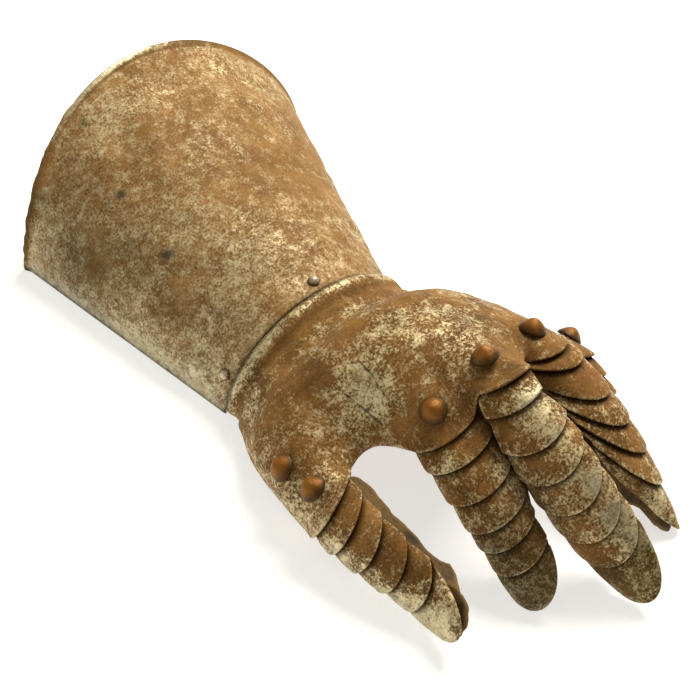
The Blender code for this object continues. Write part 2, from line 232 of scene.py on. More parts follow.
def give(slot: NodeSocket, value: Value) -> None:
    """Link a field to a node's input, or let the input hold a plain value."""
    if isinstance(value, Field):
        slot.id_data.links.new(value.socket, slot)
    else:
        slot.default_value = (*value, 1.0) if isinstance(value, tuple) else value


def add_node(tree: NodeTree, kind: str, inputs: dict[int | str, Value],
             **settings: str) -> Node:
    """Add a node to a tree.

    Args:
        tree: where it goes.
        kind: its type.
        inputs: what its inputs are given, by name or number.
        settings: its own settings, which are made first.

    Returns:
        The node.
    """
    node = tree.nodes.new(kind)
    for name, setting in settings.items():
        setattr(node, name, setting)
    for name, value in inputs.items():
        give(node.inputs[name], value)
    return node


def result(tree: NodeTree, kind: str, output: int | str, inputs: dict[int | str, Value],
           **settings: str) -> "Field":
    """Add a node, as add_node does, and return one of its outputs by name or number."""
    return Field(add_node(tree, kind, inputs, **settings).outputs[output])


class Field:
    """A value inside a node tree, combined with others by ordinary arithmetic."""

    def __init__(self, socket: NodeSocket) -> None:
        """Wrap a node's output."""
        self.socket = socket
        self.tree = socket.id_data

    def math(self, operation: str, *others: "Field | float") -> "Field":
        """Return the result of a math node on this value and any others."""
        return result(self.tree, "ShaderNodeMath", 0, dict(enumerate((self, *others))), operation=operation)

    __add__ = __radd__ = partialmethod(math, "ADD")
    __sub__ = partialmethod(math, "SUBTRACT")
    __rsub__ = partialmethod(math, "MULTIPLY_ADD", -1.0)     # a number less this value
    __mul__ = partialmethod(math, "MULTIPLY")
    __truediv__ = partialmethod(math, "DIVIDE")
    __pow__ = partialmethod(math, "POWER")

    def smooth(self, low: float, high: float) -> "Field":
        """Return 0 below low, 1 above high and a smooth step between; low may be the larger."""
        return result(self.tree, "ShaderNodeMapRange", "Result",
                      {"Value": self, "From Min": low, "From Max": high}, interpolation_type="SMOOTHSTEP")


class Paint:
    """One material's node tree, with the textures that the finishes share."""

    def __init__(self, name: str) -> None:
        """Start a Principled material on Object coordinates."""
        self.material = bpy.data.materials.new(name)
        self.material.use_nodes = True
        self.tree = self.material.node_tree
        self.shader = self.tree.nodes["Principled BSDF"]
        self.place = result(self.tree, "ShaderNodeTexCoord", "Object", {})

    def noise(self, size: float, seed: float, detail: float = 3.0, roughness: float = 0.6) -> Field:
        """Return cloudy noise round zero.

        Args:
            size: the size of its largest clouds in millimetres.
            seed: keeps one noise apart from another.
            detail: how many finer octaves it has.
            roughness: how strong they are.

        Returns:
            The noise, mostly within a quarter of zero.
        """
        inputs = {"Vector": self.place, "W": seed, "Scale": 1.0 / (size * MM), "Detail": detail,
                  "Roughness": roughness}
        return result(self.tree, "ShaderNodeTexNoise", "Fac", inputs, noise_dimensions="4D") - 0.5

    def pits(self, spacing: float, radius: float) -> Field:
        """Return 1 inside scattered round pits and 0 outside them."""
        inputs = {"Vector": self.place, "Scale": 1.0 / (spacing * MM)}
        distance = result(self.tree, "ShaderNodeTexVoronoi", "Distance", inputs)
        return distance.smooth(radius / spacing, 0.6 * radius / spacing)

    def vector(self, operation: str, inputs: dict[int | str, Value], output: str = "Vector") -> Field:
        """Return an output of a vector math node on the inputs."""
        return result(self.tree, "ShaderNodeVectorMath", output, inputs, operation=operation)

    def scratch(self, scratch: Scratch) -> Field:
        """Draw a scratch.

        Args:
            scratch: its ends and its width.

        Returns:
            1 on its line, fading to 0 beside it and at its ends.
        """
        shallow = Vector((1.0, 1.0, 0.3))      # the plate rises and falls away from a straight line
        span = (Vector(scratch.end) - Vector(scratch.start)) * MM * shallow
        away = self.vector("SUBTRACT", {0: self.place, 1: Vector(scratch.start) * MM})
        away = self.vector("MULTIPLY", {0: away, 1: shallow})
        share = self.vector("DOT_PRODUCT", {0: away, 1: span / span.length_squared}, "Value")
        held = share.math("MAXIMUM", 0.0).math("MINIMUM", 1.0)
        nearest = self.vector("SCALE", {0: span, "Scale": held})
        gap = self.vector("DISTANCE", {0: away, 1: nearest}, "Value")
        waver = self.noise(6.0, 15.0) * (1.6 * MM)
        return (gap + waver).smooth(scratch.width * MM, 0.3 * scratch.width * MM)

    def mark(self, name: str) -> Field:
        """Return a value stored on the piece's points."""
        return result(self.tree, "ShaderNodeAttribute", "Fac", {}, attribute_name=name)

    def mix(self, share: Field, first: "Colour | Field", second: "Colour | Field") -> Field:
        """Return the first colour where the share is 0 and the second where it is 1."""
        return result(self.tree, "ShaderNodeMix", 2, {0: share, 6: first, 7: second}, data_type="RGBA")

    def relief(self, height: Field, depth: float) -> Field:
        """Return the normal as a height of so many millimetres bends it."""
        return result(self.tree, "ShaderNodeBump", "Normal", {"Distance": depth * MM, "Height": height})

    def coat(self, looks: dict[str, Value]) -> Material:
        """Give the shader's own sockets their patterns and plain values; return the material."""
        for name, value in looks.items():
            give(self.shader.inputs[name], value)
        return self.material


class Patina(Enum):
    """How the bare metal and the rust of a plate are coloured: steel, light rust, dark rust."""

    TAN = ((0.78, 0.62, 0.33), (0.385, 0.205, 0.065), (0.20, 0.100, 0.026))
    BROWN = ((0.84, 0.67, 0.35), (0.335, 0.163, 0.043), (0.125, 0.060, 0.012))
    OLIVE = ((0.56, 0.45, 0.20), (0.180, 0.100, 0.024), (0.065, 0.037, 0.007))


@dataclass(frozen=True)
class SteelFinish:
    """Forged steel under a speckled rust patina that is rubbed off edges and ridges, with painted shade
    where it comes out from under another plate.
    """

    name: str
    patina: Patina = Patina.BROWN
    bareness: float = 0.0            # added to the wear all over
    softness: float = 1.0            # how gently the patina gives way to bare steel
    scratches: tuple[Scratch, ...] = ()
    bare_from: float = 0.095         # the wear at which half of the steel is bare
    bare_span: float = 0.155         # and how far either side of it the change reaches
    red_rust: Colour = (0.26, 0.095, 0.03)
    rubbed_rust: Colour = (0.18, 0.135, 0.062)
    polish: Colour = (0.80, 0.72, 0.50)
    speck: Colour = (0.10, 0.075, 0.032)
    # the near black of the painted shade past a covering plate's edge, and of the pits
    shade_and_pit_dirt: Colour = (0.022, 0.010, 0.003)
    # also the colour of the painted shade that the stain mark carries on the cuff and the hand plate
    stain: Colour = (0.04, 0.033, 0.014)
    cut: Colour = (0.04, 0.025, 0.012)
    bloom: Colour = (1.0, 0.86, 0.62)

    def rust(self, paint: Paint, flecks: Field, polished: Field) -> Field:
        """Colour the patina.

        Args:
            paint: the material.
            flecks: the grain that speckles it.
            polished: where it is rubbed thin.

        Returns:
            Its colour.
        """
        _, light, dark = self.patina.value
        tint = paint.noise(14.0, 4.0, detail=4.0)
        redness = paint.noise(20.0, 5.0, detail=3.0).smooth(0.02, 0.22)
        rust = paint.mix((tint * 1.5 + flecks * 1.9 + 0.5).smooth(0.1, 0.9), dark, light)
        rust = paint.mix(redness * 0.4, rust, self.red_rust)
        return paint.mix(polished * 0.7, rust, self.rubbed_rust)

    def metal(self, paint: Paint, flecks: Field, blots: Field, fleck: Field, polished: Field) -> Field:
        """Colour the bare steel, brighter and specked where it is polished.

        Args:
            paint: the material.
            flecks: the grain that speckles it.
            blots: the larger clouds of its shine.
            fleck: the finest noise, which breaks up the specks.
            polished: where it is rubbed most.

        Returns:
            Its colour.
        """
        steel = self.patina.value[0]
        dull = tuple(0.55 * channel for channel in steel)
        shine = (flecks * 1.4 + blots + 0.3).smooth(0.0, 0.8)
        metal = paint.mix(shine, dull, paint.mix(polished * 0.8, steel, self.polish))
        specks = (paint.noise(2.6, 13.0, detail=4.0) + fleck * 0.3).smooth(0.08, 0.17) * polished
        return paint.mix(specks * 0.8, metal, self.speck)

    def material(self) -> Material:
        """Return the finish as a material.

        Returns:
            A material that reads the marks edge, root, wear, stain and inner.
        """
        paint = Paint(self.name)
        clouds = paint.noise(30.0, 1.0, detail=2.0)
        blots = paint.noise(5.0, 2.0, detail=3.0)
        grain = paint.noise(1.15, 3.0, detail=4.0, roughness=0.7)
        fleck = paint.noise(0.6, 6.0, detail=2.0)
        edge, inner = paint.mark("edge").smooth(0.7, 0.0), paint.mark("inner")
        # The wear mark also carries painted bounce light low on the thumb side and a painted highlight on
        # the cuff's lip.
        wear = paint.mark("wear") + self.bareness + edge * 0.07 - inner * 0.12
        polished = paint.mark("wear").smooth(0.08, 0.3)
        zone = (clouds + paint.mark("wear") * 2.0).smooth(-0.16, 0.14)
        flecks = (grain * 1.1 + fleck * 0.5) * (zone * 0.5 + 0.55)
        span = self.bare_span * self.softness
        bare = clouds * 0.4 + blots * 0.75 + flecks + wear
        bare = bare.smooth(self.bare_from - span, self.bare_from + span)
        rust = self.rust(paint, flecks, polished)
        colour = paint.mix(bare, rust, self.metal(paint, flecks, blots, fleck, polished))
        # Painted shade over the first 4 mm past the edge of a covering plate, with dark pits.
        shade_and_pit_dirt = (paint.mark("root").smooth(4.0, 0.0) + paint.pits(9.0, 0.6) * 0.7).math("MINIMUM", 1.0)
        colour = paint.mix(shade_and_pit_dirt * 0.88, colour, self.shade_and_pit_dirt)
        # The stain mark also carries painted shade on the cuff's seam and thumb side and in the hand plate's
        # groove.
        colour = paint.mix(paint.mark("stain").math("MINIMUM", 0.85), colour, self.stain)
        for scratch in self.scratches:
            colour = paint.mix(paint.scratch(scratch) * 0.75, colour, self.cut)
        clean = bare * (1.0 - shade_and_pit_dirt) * (1.0 - inner * 0.5)
        return paint.coat({
            "Base Color": colour,
            "Metallic": clean * (polished * 0.35 + 0.28),
            "Roughness": 0.66 - clean * (polished * 0.12 + 0.2) + grain * 0.3,
            "Specular IOR Level": clean * 0.3 + (1.0 - shade_and_pit_dirt) * 0.08,
            "Sheen Weight": (1.0 - shade_and_pit_dirt) * 0.1,
            "Sheen Roughness": 0.5,
            "Sheen Tint": self.bloom,
            "Normal": paint.relief(grain * 0.8 + blots * 0.5 - bare * 0.3 - shade_and_pit_dirt * 0.4, 0.2)})


@dataclass(frozen=True)
class CopperFinish:
    """Dull copper alloy, orange on the crown and brown-grey low on the flanks."""

    crown: Colour = (0.275, 0.108, 0.013)
    flank: Colour = (0.088, 0.042, 0.010)
    joint: Colour = (0.03, 0.018, 0.01)

    def material(self) -> Material:
        """Return the finish as a material that reads the mark rise."""
        paint = Paint("copper")
        cloud = paint.noise(3.5, 7.0)
        grain = paint.noise(0.7, 8.0, detail=3.0)
        rise = paint.mark("rise")
        crown = (rise + cloud * 0.9 + grain * 0.4).smooth(0.12, 0.75)
        joint = (rise + grain * 0.1).smooth(0.06, 0.0)
        colour = paint.mix(crown, self.flank, self.crown)
        return paint.coat({
            "Base Color": paint.mix(joint * 0.8, colour, self.joint),
            "Metallic": 0.3,
            "Specular IOR Level": 0.2,
            "Roughness": 0.46 + grain * 0.6,
            "Normal": paint.relief(grain + cloud, 0.2)})


@dataclass(frozen=True)
class RivetSteelFinish:
    """Small steel rivet heads: rubbed bright on the crown, brown in the joint."""

    joint: Colour = (0.14, 0.075, 0.025)
    crown: Colour = (0.62, 0.52, 0.33)

    def material(self) -> Material:
        """Return the finish as a material that reads the mark rise."""
        paint = Paint("rivet_steel")
        grain = paint.noise(0.8, 9.0, detail=3.0)
        crown = (paint.mark("rise") + grain * 1.6).smooth(0.25, 0.8)
        return paint.coat({
            "Base Color": paint.mix(crown, self.joint, self.crown),
            "Metallic": crown * 0.5,
            "Roughness": 0.62 - crown * 0.3,
            "Normal": paint.relief(grain, 0.1)})


@dataclass(frozen=True)
class LeatherFinish:
    """Old dry leather: olive-brown, creased, with pale frayed edges."""

    dark: Colour = (0.055, 0.029, 0.008)
    light: Colour = (0.21, 0.120, 0.030)
    frayed: Colour = (0.28, 0.160, 0.050)

    def material(self) -> Material:
        """Return the finish as a material that reads the mark edge."""
        paint = Paint("leather")
        cloud = paint.noise(14.0, 11.0)
        crease = paint.noise(2.4, 12.0, detail=5.0, roughness=0.7)
        fray = (paint.mark("edge") + crease * 3.0).smooth(1.6, 0.2)
        colour = paint.mix((cloud * 1.6 + crease * 1.2 + 0.5).smooth(0.2, 0.8), self.dark, self.light)
        return paint.coat({
            "Base Color": paint.mix(fray * 0.7, colour, self.frayed),
            "Metallic": 0.0,
            "Roughness": 0.82 + crease * 0.3,
            "Normal": paint.relief(crease * 1.5 + cloud, 0.35)})


# ---------------- shells

def placed(name: str, data: ID) -> Object:
    """Return a new object of the scene that holds a mesh, a lamp or a camera."""
    item = bpy.data.objects.new(name, data)
    bpy.context.scene.collection.objects.link(item)
    return item


def quads(ids: np.ndarray) -> np.ndarray:
    """Return the four corners of every cell of a grid of point numbers."""
    return np.stack((ids[:-1, :-1], ids[1:, :-1], ids[1:, 1:], ids[:-1, 1:]), -1).reshape(-1, 4)


def perimeter(rows: int, columns: int) -> np.ndarray:
    """Walk round the rim of a grid.

    Args:
        rows: how many rows it has.
        columns: and how many columns.

    Returns:
        The row and column of every rim point, in order.
    """
    down = [(r, 0) for r in range(rows)]
    along = [(rows - 1, c) for c in range(1, columns)]
    up = [(r, columns - 1) for r in range(rows - 2, -1, -1)]
    back = [(0, c) for c in range(columns - 2, 0, -1)]
    return np.array(down + along + up + back)


@dataclass
class Sheet:
    """A plate or strip: an outer surface, a wall thickness and a rounded rim."""

    name: str
    surface: np.ndarray
    thickness: float
    marks: dict[str, np.ndarray] = field(default_factory=dict)
    rim_steps: int = 3

    def build(self, material: Material) -> Object:
        """Make the closed shell.

        Args:
            material: the finish it is given.

        Returns:
            The object, with its place in its mesh.
        """
        rows, columns = self.surface.shape[:2]
        normals = grid_normals(self.surface)
        walk = perimeter(rows, columns)
        near = np.clip(walk, 1, (rows - 2, columns - 2))
        rim = self.surface[walk[:, 0], walk[:, 1]]
        rim_normals = normals[walk[:, 0], walk[:, 1]]
        away = rim - self.surface[near[:, 0], near[:, 1]]
        away = unit(away - rim_normals * (away * rim_normals).sum(axis=1, keepdims=True))
        half = self.thickness / 2
        turns = np.linspace(0.0, math.pi, self.rim_steps + 2)[1:-1]
        rings = [rim + half * (rim_normals * (math.cos(turn) - 1.0) + away * math.sin(turn))
                 for turn in turns]
        outer = self.surface.reshape(-1, 3)
        inner = outer - normals.reshape(-1, 3) * self.thickness
        points = np.concatenate((outer, inner, *rings))
        count = rows * columns
        ids = np.arange(count).reshape(rows, columns)
        loop = ids[walk[:, 0], walk[:, 1]]
        layers = [loop]
        layers += [2 * count + step * len(walk) + np.arange(len(walk)) for step in range(self.rim_steps)]
        layers.append(loop + count)
        faces = [quads(ids), quads(ids + count)[:, ::-1]]
        for top, low in zip(layers, layers[1:]):
            faces.append(np.stack((np.roll(top, -1), top, low, np.roll(low, -1)), -1))
        mesh = bpy.data.meshes.new(self.name)
        mesh.from_pydata(((points + SEAM_ORIGIN) * MM).tolist(), [], np.concatenate(faces).tolist())
        mesh.shade_smooth()
        for name, values in self.marks.items():
            flat = values.reshape(-1)
            self.store(mesh, name, np.concatenate((flat, flat, np.tile(flat[loop], self.rim_steps))))
        depth = np.repeat(np.linspace(0.0, 1.0, self.rim_steps + 2)[1:-1], len(walk))
        self.store(mesh, "inner", np.concatenate((np.zeros(count), np.ones(count), depth)))
        mesh.materials.append(material)
        return placed(self.name, mesh)

    @staticmethod
    def store(mesh: Mesh, name: str, values: np.ndarray) -> None:
        """Store one number on every point of the mesh."""
        layer = mesh.attributes.new(name, "FLOAT", "POINT")
        layer.data.foreach_set("value", values.astype(np.float32))


def fit(piece: Object, slot: str, *nodes: str) -> None:
    """Let a piece ride on the gauntlet and stand for its solids, and report it."""
    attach(piece, "root")
    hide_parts(*nodes)
    LOG.info("%s: %d faces, stands for %s", piece.name, len(piece.data.polygons), ", ".join(nodes))


def new_tree(name: str, sizes: dict[str, float]) -> tuple[NodeTree, dict[str, Field]]:
    """Start a Geometry Nodes tree with one named input for each size.

    Args:
        name: the tree's name.
        sizes: the inputs and their default values.

    Returns:
        The tree, and its inputs as values.
    """
    tree = bpy.data.node_groups.new(name, "GeometryNodeTree")
    for way in ("INPUT", "OUTPUT"):
        tree.interface.new_socket("Geometry", in_out=way, socket_type="NodeSocketGeometry")
    for size, value in sizes.items():
        socket = tree.interface.new_socket(size, in_out="INPUT", socket_type="NodeSocketFloat")
        socket.default_value = value
    start = tree.nodes.new("NodeGroupInput")
    return tree, {size: Field(start.outputs[size]) for size in ("Geometry", *sizes)}


def end_tree(geometry: Field, material: Material) -> None:
    """Close a geometry's tree with Realize Instances and Set Material."""
    tree = geometry.tree
    real = result(tree, "GeometryNodeRealizeInstances", "Geometry", {"Geometry": geometry})
    coat = result(tree, "GeometryNodeSetMaterial", "Geometry", {"Geometry": real, "Material": material})
    add_node(tree, "NodeGroupOutput", {"Geometry": coat})


def unit_grid(tree: NodeTree, columns: int, rows: int) -> tuple[Field, Field, Field]:
    """Add a grid whose points run from 0 to 1 both ways; return it and both shares."""
    grid = result(tree, "GeometryNodeMeshGrid", "Mesh", {"Vertices X": columns, "Vertices Y": rows})
    place = result(tree, "GeometryNodeInputPosition", "Position", {})
    parts = add_node(tree, "ShaderNodeSeparateXYZ", {"Vector": place})
    return grid, Field(parts.outputs["X"]) + 0.5, Field(parts.outputs["Y"]) + 0.5


def moved(mesh: Field, x: Field, y: Field, z: Field) -> Field:
    """Put every point of a mesh at its formula's place."""
    place = result(mesh.tree, "ShaderNodeCombineXYZ", "Vector", {"X": x, "Y": y, "Z": z})
    return result(mesh.tree, "GeometryNodeSetPosition", "Geometry", {"Geometry": mesh, "Position": place})


def solved(holder: Object, tree: NodeTree, sizes: dict[str, float]) -> Mesh:
    """Turn a holder into the plain mesh that a tree makes from it.

    Args:
        holder: the object that the tree starts from; it is removed.
        tree: the Geometry Nodes tree.
        sizes: the tree's named inputs, which are set by the identifiers of their sockets.

    Returns:
        The mesh, under the holder's name.
    """
    bpy.context.scene.collection.objects.link(holder)
    modifier = holder.modifiers.new(tree.name, "NODES")
    modifier.node_group = tree
    for item in tree.interface.items_tree:
        if item.in_out == "INPUT" and item.name in sizes:
            modifier[item.identifier] = sizes[item.name]
    evaluated = holder.evaluated_get(bpy.context.evaluated_depsgraph_get())
    mesh = bpy.data.meshes.new_from_object(evaluated)
    mesh.name = holder.name
    holder.modifiers.clear()
    bpy.data.objects.remove(holder, do_unlink=True)
    return mesh


# ---------------- cuff

CONE_PARTS = ("X", "Z", "half width", "height")


@dataclass(frozen=True)
class Cuff:
    """The flared half cone that covers the forearm, with a narrow lip turned out at its rim."""

    wrist: tuple[float, ...] = (-17.3, 1.7, 49.2, 42.2)    # as CONE_PARTS names them
    rim: tuple[float, ...] = (1.5, 2.5, 82.6, 62.0)
    length: float = 127.0
    back_extra: float = 28.0         # how much further the rim reaches over the arm
    edge_drop: float = 2.3           # how far its long edges go on below level
    lip_length: float = 3.0
    lip_flare: float = 1.4
    dent: float = 0.45
    nibble: float = 0.4              # depth of the rust's bites out of the rim
    calm_border: float = 12.0        # the dents fade out this far from an edge
    crown: Pair = (-12.0, 42.0)      # bands of wear, dirt, painted shade and painted highlight: centre and half width
    groove: Pair = (2.6, 0.7)
    fold: Pair = (0.2, 1.5)
    rubbed: Pair = (4.0, 2.6)
    seam_shade: Pair = (0.0, 0.6)
    columns: int = 151
    rows: int = 129
    # The last row takes bare steel off the thumb side: painted shade.
    worn: tuple[Patch, ...] = patches(
        (-31, 147, 61, 14, 0.08), (16, 144, 65, 18, 0.05), (-68, 131, 34, 13, 0.10),
        (-76, 121, 17, 14, 0.02), (-73, 95, 17, 12, 0.03), (-71, 75, 13, 12, 0.06),
        (-67, 30, 6, 9, 0.22), (-75, 108, 5, 9, 0.14), (-70, 60, 5, 10, 0.16),
        (-44, 34, 40, 15, 0.07), (-24, 43, 49, 16, 0.09), (20, 54, 45, 22, 0.05),
        (-48, 112, 48, 13, -0.06), (-68, 100, 27, 9, -0.08), (-62, 48, 27, 16, -0.10),
        (7, 150, 69, 10, -0.04), (-7, 69, 54, 18, -0.05), (-32, 126, 58, 12, -0.04),
        (45, 90, 55, 36, -0.09), (35, 50, 45, 16, -0.06), (-64, 40, 20, 14, 0.08),
        (-76, 110, 22, 16, -0.07))
    # The last two rows, broad and on the thumb side, are painted shade that darkens that side; the others
    # are stains.
    stains: tuple[Patch, ...] = patches(
        (-48, 112, 48, 2.2, 1.3), (-51, 74, 41, 2.3, 1.3), (-38, 152, 59, 2.0, 0.8),
        (-60, 90, 38, 5.0, 0.25), (-70, 144, 34, 5.0, 0.3), (-75, 112, 20, 26, 0.50),
        (-64, 58, 28, 36, 0.15))

    def sizes(self) -> dict[str, float]:
        """Return the sizes that the surface's tree takes as inputs."""
        sizes = {"Length": self.length, "Back extra": self.back_extra,
                 "Edge drop": math.radians(self.edge_drop),
                 "Lip length": self.lip_length, "Lip flare": self.lip_flare}
        for end, values in (("Wrist", self.wrist), ("Rim", self.rim)):
            sizes |= {f"{end} {part}": value for part, value in zip(CONE_PARTS, values)}
        return sizes

    def tree(self, material: Material) -> NodeTree:
        """Lay a grid on the inside of the half cone, from the wrist to the rim.

        Args:
            material: what the tree sets on it.

        Returns:
            The tree that does so.
        """
        tree, size = new_tree("half_cone", self.sizes())
        grid, around, along = unit_grid(tree, self.columns, self.rows)
        angle = size["Edge drop"] + math.pi - around * (size["Edge drop"] * 2.0 + math.pi)
        sine, cosine = angle.math("SINE"), angle.math("COSINE")
        full = size["Length"] + size["Back extra"] * sine.math("MAXIMUM", 0.0) ** 2.0
        y = along * full
        share = y / size["Length"]
        on_lip = (y - (full - size["Lip length"])).math("MAXIMUM", 0.0) / size["Lip length"]
        flare = on_lip * size["Lip flare"]
        x, z, half_width, height = (
            size[f"Wrist {part}"] + (size[f"Rim {part}"] - size[f"Wrist {part}"]) * share
            for part in CONE_PARTS)
        end_tree(moved(grid, x + (half_width + flare) * cosine, y, z + (height + flare) * sine), material)
        return tree

    def surface(self, material: Material) -> np.ndarray:
        """Read the half cone that the tree makes.

        Args:
            material: what the tree sets on it.

        Returns:
            The outer surface as rows of points from the wrist to the rim, little finger first.
        """
        holder = bpy.data.objects.new("cuff_form", bpy.data.meshes.new("cuff_form"))
        mesh = solved(holder, self.tree(material), self.sizes())
        flat = np.empty(len(mesh.vertices) * 3)
        mesh.vertices.foreach_get("co", flat)
        bpy.data.meshes.remove(mesh)
        inside = flat.reshape(self.columns, self.rows, 3).transpose(1, 0, 2)[:, ::-1]
        return inside + grid_normals(inside) * PLATE_THICKNESS

    def marks(self, grid: np.ndarray, rim: np.ndarray) -> dict[str, np.ndarray]:
        """Return where the surface is worn and stained, where shade and a highlight are painted, and the
        distance from its long edges.

        Args:
            grid: the surface.
            rim: the distance of its points from the rim, before the dents.

        Returns:
            The marks that the steel finish reads; the cuff has no root.
        """
        side = side_distance(grid)
        crown = bump(grid[..., 0] + SEAM_ORIGIN[0], *self.crown)
        lip = np.clip((1.9 - rim) / 0.7, 0.0, 1.0)
        groove, fold, seam_shade = bump(rim, *self.groove), bump(side, *self.fold), bump(reach(grid), *self.seam_shade)
        rubbed = bump(side, *self.rubbed) * (grid[..., 0] < 0.0)
        low = low_share(grid, 42.0)
        # The lip is paler along the cuff's top: a painted highlight where its edge catches the light, partly
        # rubbed edge.
        wear = patched(grid, self.worn) + lip * (0.7 * crown - 0.3)
        # Paler bare steel low on the thumb side: partly real wear, partly painted bounce light from the
        # floor.
        wear = wear + 0.17 * low**1.5 + 0.12 * rubbed - groove * 0.15
        # Stains, the broad painted shade on the thumb side among them, and a lip darker away from the top.
        stain = patched(grid, self.stains) + groove * 0.4 * crown + lip * 0.45 * (1.0 - crown)
        # seam_shade darkens the wrist edge: painted shade along the seam.
        stain = stain + fold * 0.75 + seam_shade * 0.4
        return {"edge": side + 0.5, "root": np.full(rim.shape, NO_ROOT), "wear": wear, "stain": stain}

    def build(self, material: Material) -> None:
        """Make the cuff.

        Args:
            material: what it is made of.
        """
        grid = self.surface(material)
        rim = front_distance(grid)
        grid = dented(grid, reach(grid), self.dent, self.calm_border)
        lip_only = np.linspace(0.0, 1.0, len(grid))[:, None] ** 40
        nibbled = self.nibble * FRAYS.depth(grid) * (grid[..., 0] < -38.0) * lip_only
        grid = grid + unit(np.gradient(grid, axis=0)) * nibbled[..., None]
        piece = Sheet("cuff_plate", grid, PLATE_THICKNESS, self.marks(grid, rim)).build(material)
        fit(piece, "cuff_steel", "cuff")

    def section(self, y: float, angles: np.ndarray, outward: float) -> np.ndarray:
        """Return points of the cone at a distance from the wrist, moved outwards."""
        share = y / self.length
        x, z, half_width, height = (
            start + (end - start) * share for start, end in zip(self.wrist, self.rim))
        return np.stack((x + (half_width + outward) * np.cos(angles), np.full(angles.shape, y),
                         z + (height + outward) * np.sin(angles)), -1)


# ---------------- fingers

@dataclass(frozen=True)
class Finger:
    """One finger's axis and the sizes of its lames."""

    name: str
    root: Triple                     # axis point under the end of the hand plate's lobe
    yaw: float                       # heading, 0 is -Y, positive towards +X
    pitch: float                     # downward slope of the first frame
    roll: float                      # tilt of the back towards +X
    bend: Pair                       # downward turn at the first and last lame
    side: float                      # sideways turn at every lame
    twist: float                     # added roll at every lame
    steps: tuple[float, ...]         # distances between the ends of the lames
    half_width: Triple               # at the lobe, at the last lame before the tip, at the tip
    height: Triple
    sweep: Triple                    # how far the end of a lame stands ahead of its sides
    lobe: Pair                       # angles between which the hand plate forms the lobe
    wrap: Pair                       # angles between which the first lame wraps the finger
    tip_wrap: Pair                   # and the last one
    strip_start: float               # distance behind the lobe's end where the leather starts
    strip_tip: Pair                  # its end's distance behind the tip, and share of the sweep
    strip_reach: Pair                # how far either edge hangs below the lames
    strip_spread: Triple = (0, 0, 0)    # how far either edge stands out; the share left at the tip
    strip_inset: Pair = (3.2, 3.2)   # how far either edge lies inside the tip

    def frames(self) -> list[tuple[np.ndarray, ...]]:
        """Follow the finger from its root.

        Returns:
            Origin, across, forward and back-of-hand vectors for the lobe and every lame.
        """
        yaw, pitch, roll = np.radians((self.yaw, self.pitch, self.roll))
        level = np.array((math.cos(yaw), math.sin(yaw), 0.0))
        heading = np.array((math.sin(yaw), -math.cos(yaw), 0.0))
        up = np.array((0.0, 0.0, 1.0))
        forward = heading * math.cos(pitch) - up * math.sin(pitch)
        back = heading * math.sin(pitch) + up * math.cos(pitch)
        across = level * math.cos(roll) - back * math.sin(roll)
        back = back * math.cos(roll) + level * math.sin(roll)
        origin = np.array(self.root, float)
        frames = [(origin, across, forward, back)]
        side, twist = np.radians((self.side, self.twist))
        for bend, step in zip(np.radians(np.linspace(*self.bend, len(self.steps))), self.steps):
            forward, down = turned(forward, -back, bend)
            forward, across = turned(forward, across, side)
            across, down = turned(across, down, twist)
            back = -down
            origin = origin + forward * step
            frames.append((origin, across, forward, back))
        return frames

    def section(self, index: int) -> tuple[float, float, float]:
        """Size the end of a lame.

        Args:
            index: which lame; 0 is the hand plate's lobe.

        Returns:
            Its half width, height and sweep.
        """
        last = len(self.steps)
        if index == last:
            return self.half_width[2], self.height[2], self.sweep[2]
        share = index / (last - 1)
        return tuple(sizes[0] + (sizes[1] - sizes[0]) * share
                     for sizes in (self.half_width, self.height, self.sweep))

    def end_curve(self, index: int, angles: np.ndarray, inset: float = 0.0, setback: float = 0.0,
                  sweep_share: float = 1.0) -> np.ndarray:
        """Return the points of a lame's free edge.

        Args:
            index: which lame; 0 is the hand plate's lobe.
            angles: places round the arch, in radians.
            inset: how far inside the edge the points lie.
            setback: how far behind it they lie.
            sweep_share: how much of the lame's sweep they follow.

        Returns:
            One point for each angle.
        """
        origin, across, forward, back = self.frames()[index]
        half_width, height, sweep = self.section(index)
        power = TIP_SHARPNESS if index == len(self.steps) else 1.0
        ahead = sweep * sweep_share * (np.clip(np.sin(angles), 0.0, 1.0) ** power - 1.0) - setback
        return (origin
                + np.outer((half_width - inset) * np.cos(angles), across)
                + np.outer((height - inset) * np.sin(angles), back)
                + np.outer(ahead, forward))

    def wrap_angles(self, index: int, count: int) -> np.ndarray:
        """Return the angles of a lame's columns round the finger."""
        share = WRAP_FADE ** (index - 1)
        start, stop = np.array(self.wrap) * share + np.array(self.tip_wrap) * (1 - share)
        return np.radians(np.linspace(start, stop, count))


def turned(first: np.ndarray, second: np.ndarray, angle: float) -> tuple[np.ndarray, np.ndarray]:
    """Turn a pair of perpendicular vectors in their own plane, the first towards the second."""
    cos, sin = math.cos(angle), math.sin(angle)
    return first * cos + second * sin, second * cos - first * sin


OVERLAP = 7.0
LAME_FLARE = 0.6
LAME_BULGE = 0.3
TIP_BULGE = 1.0
TIP_SHARPNESS = 0.8
WRAP_FADE = 0.4

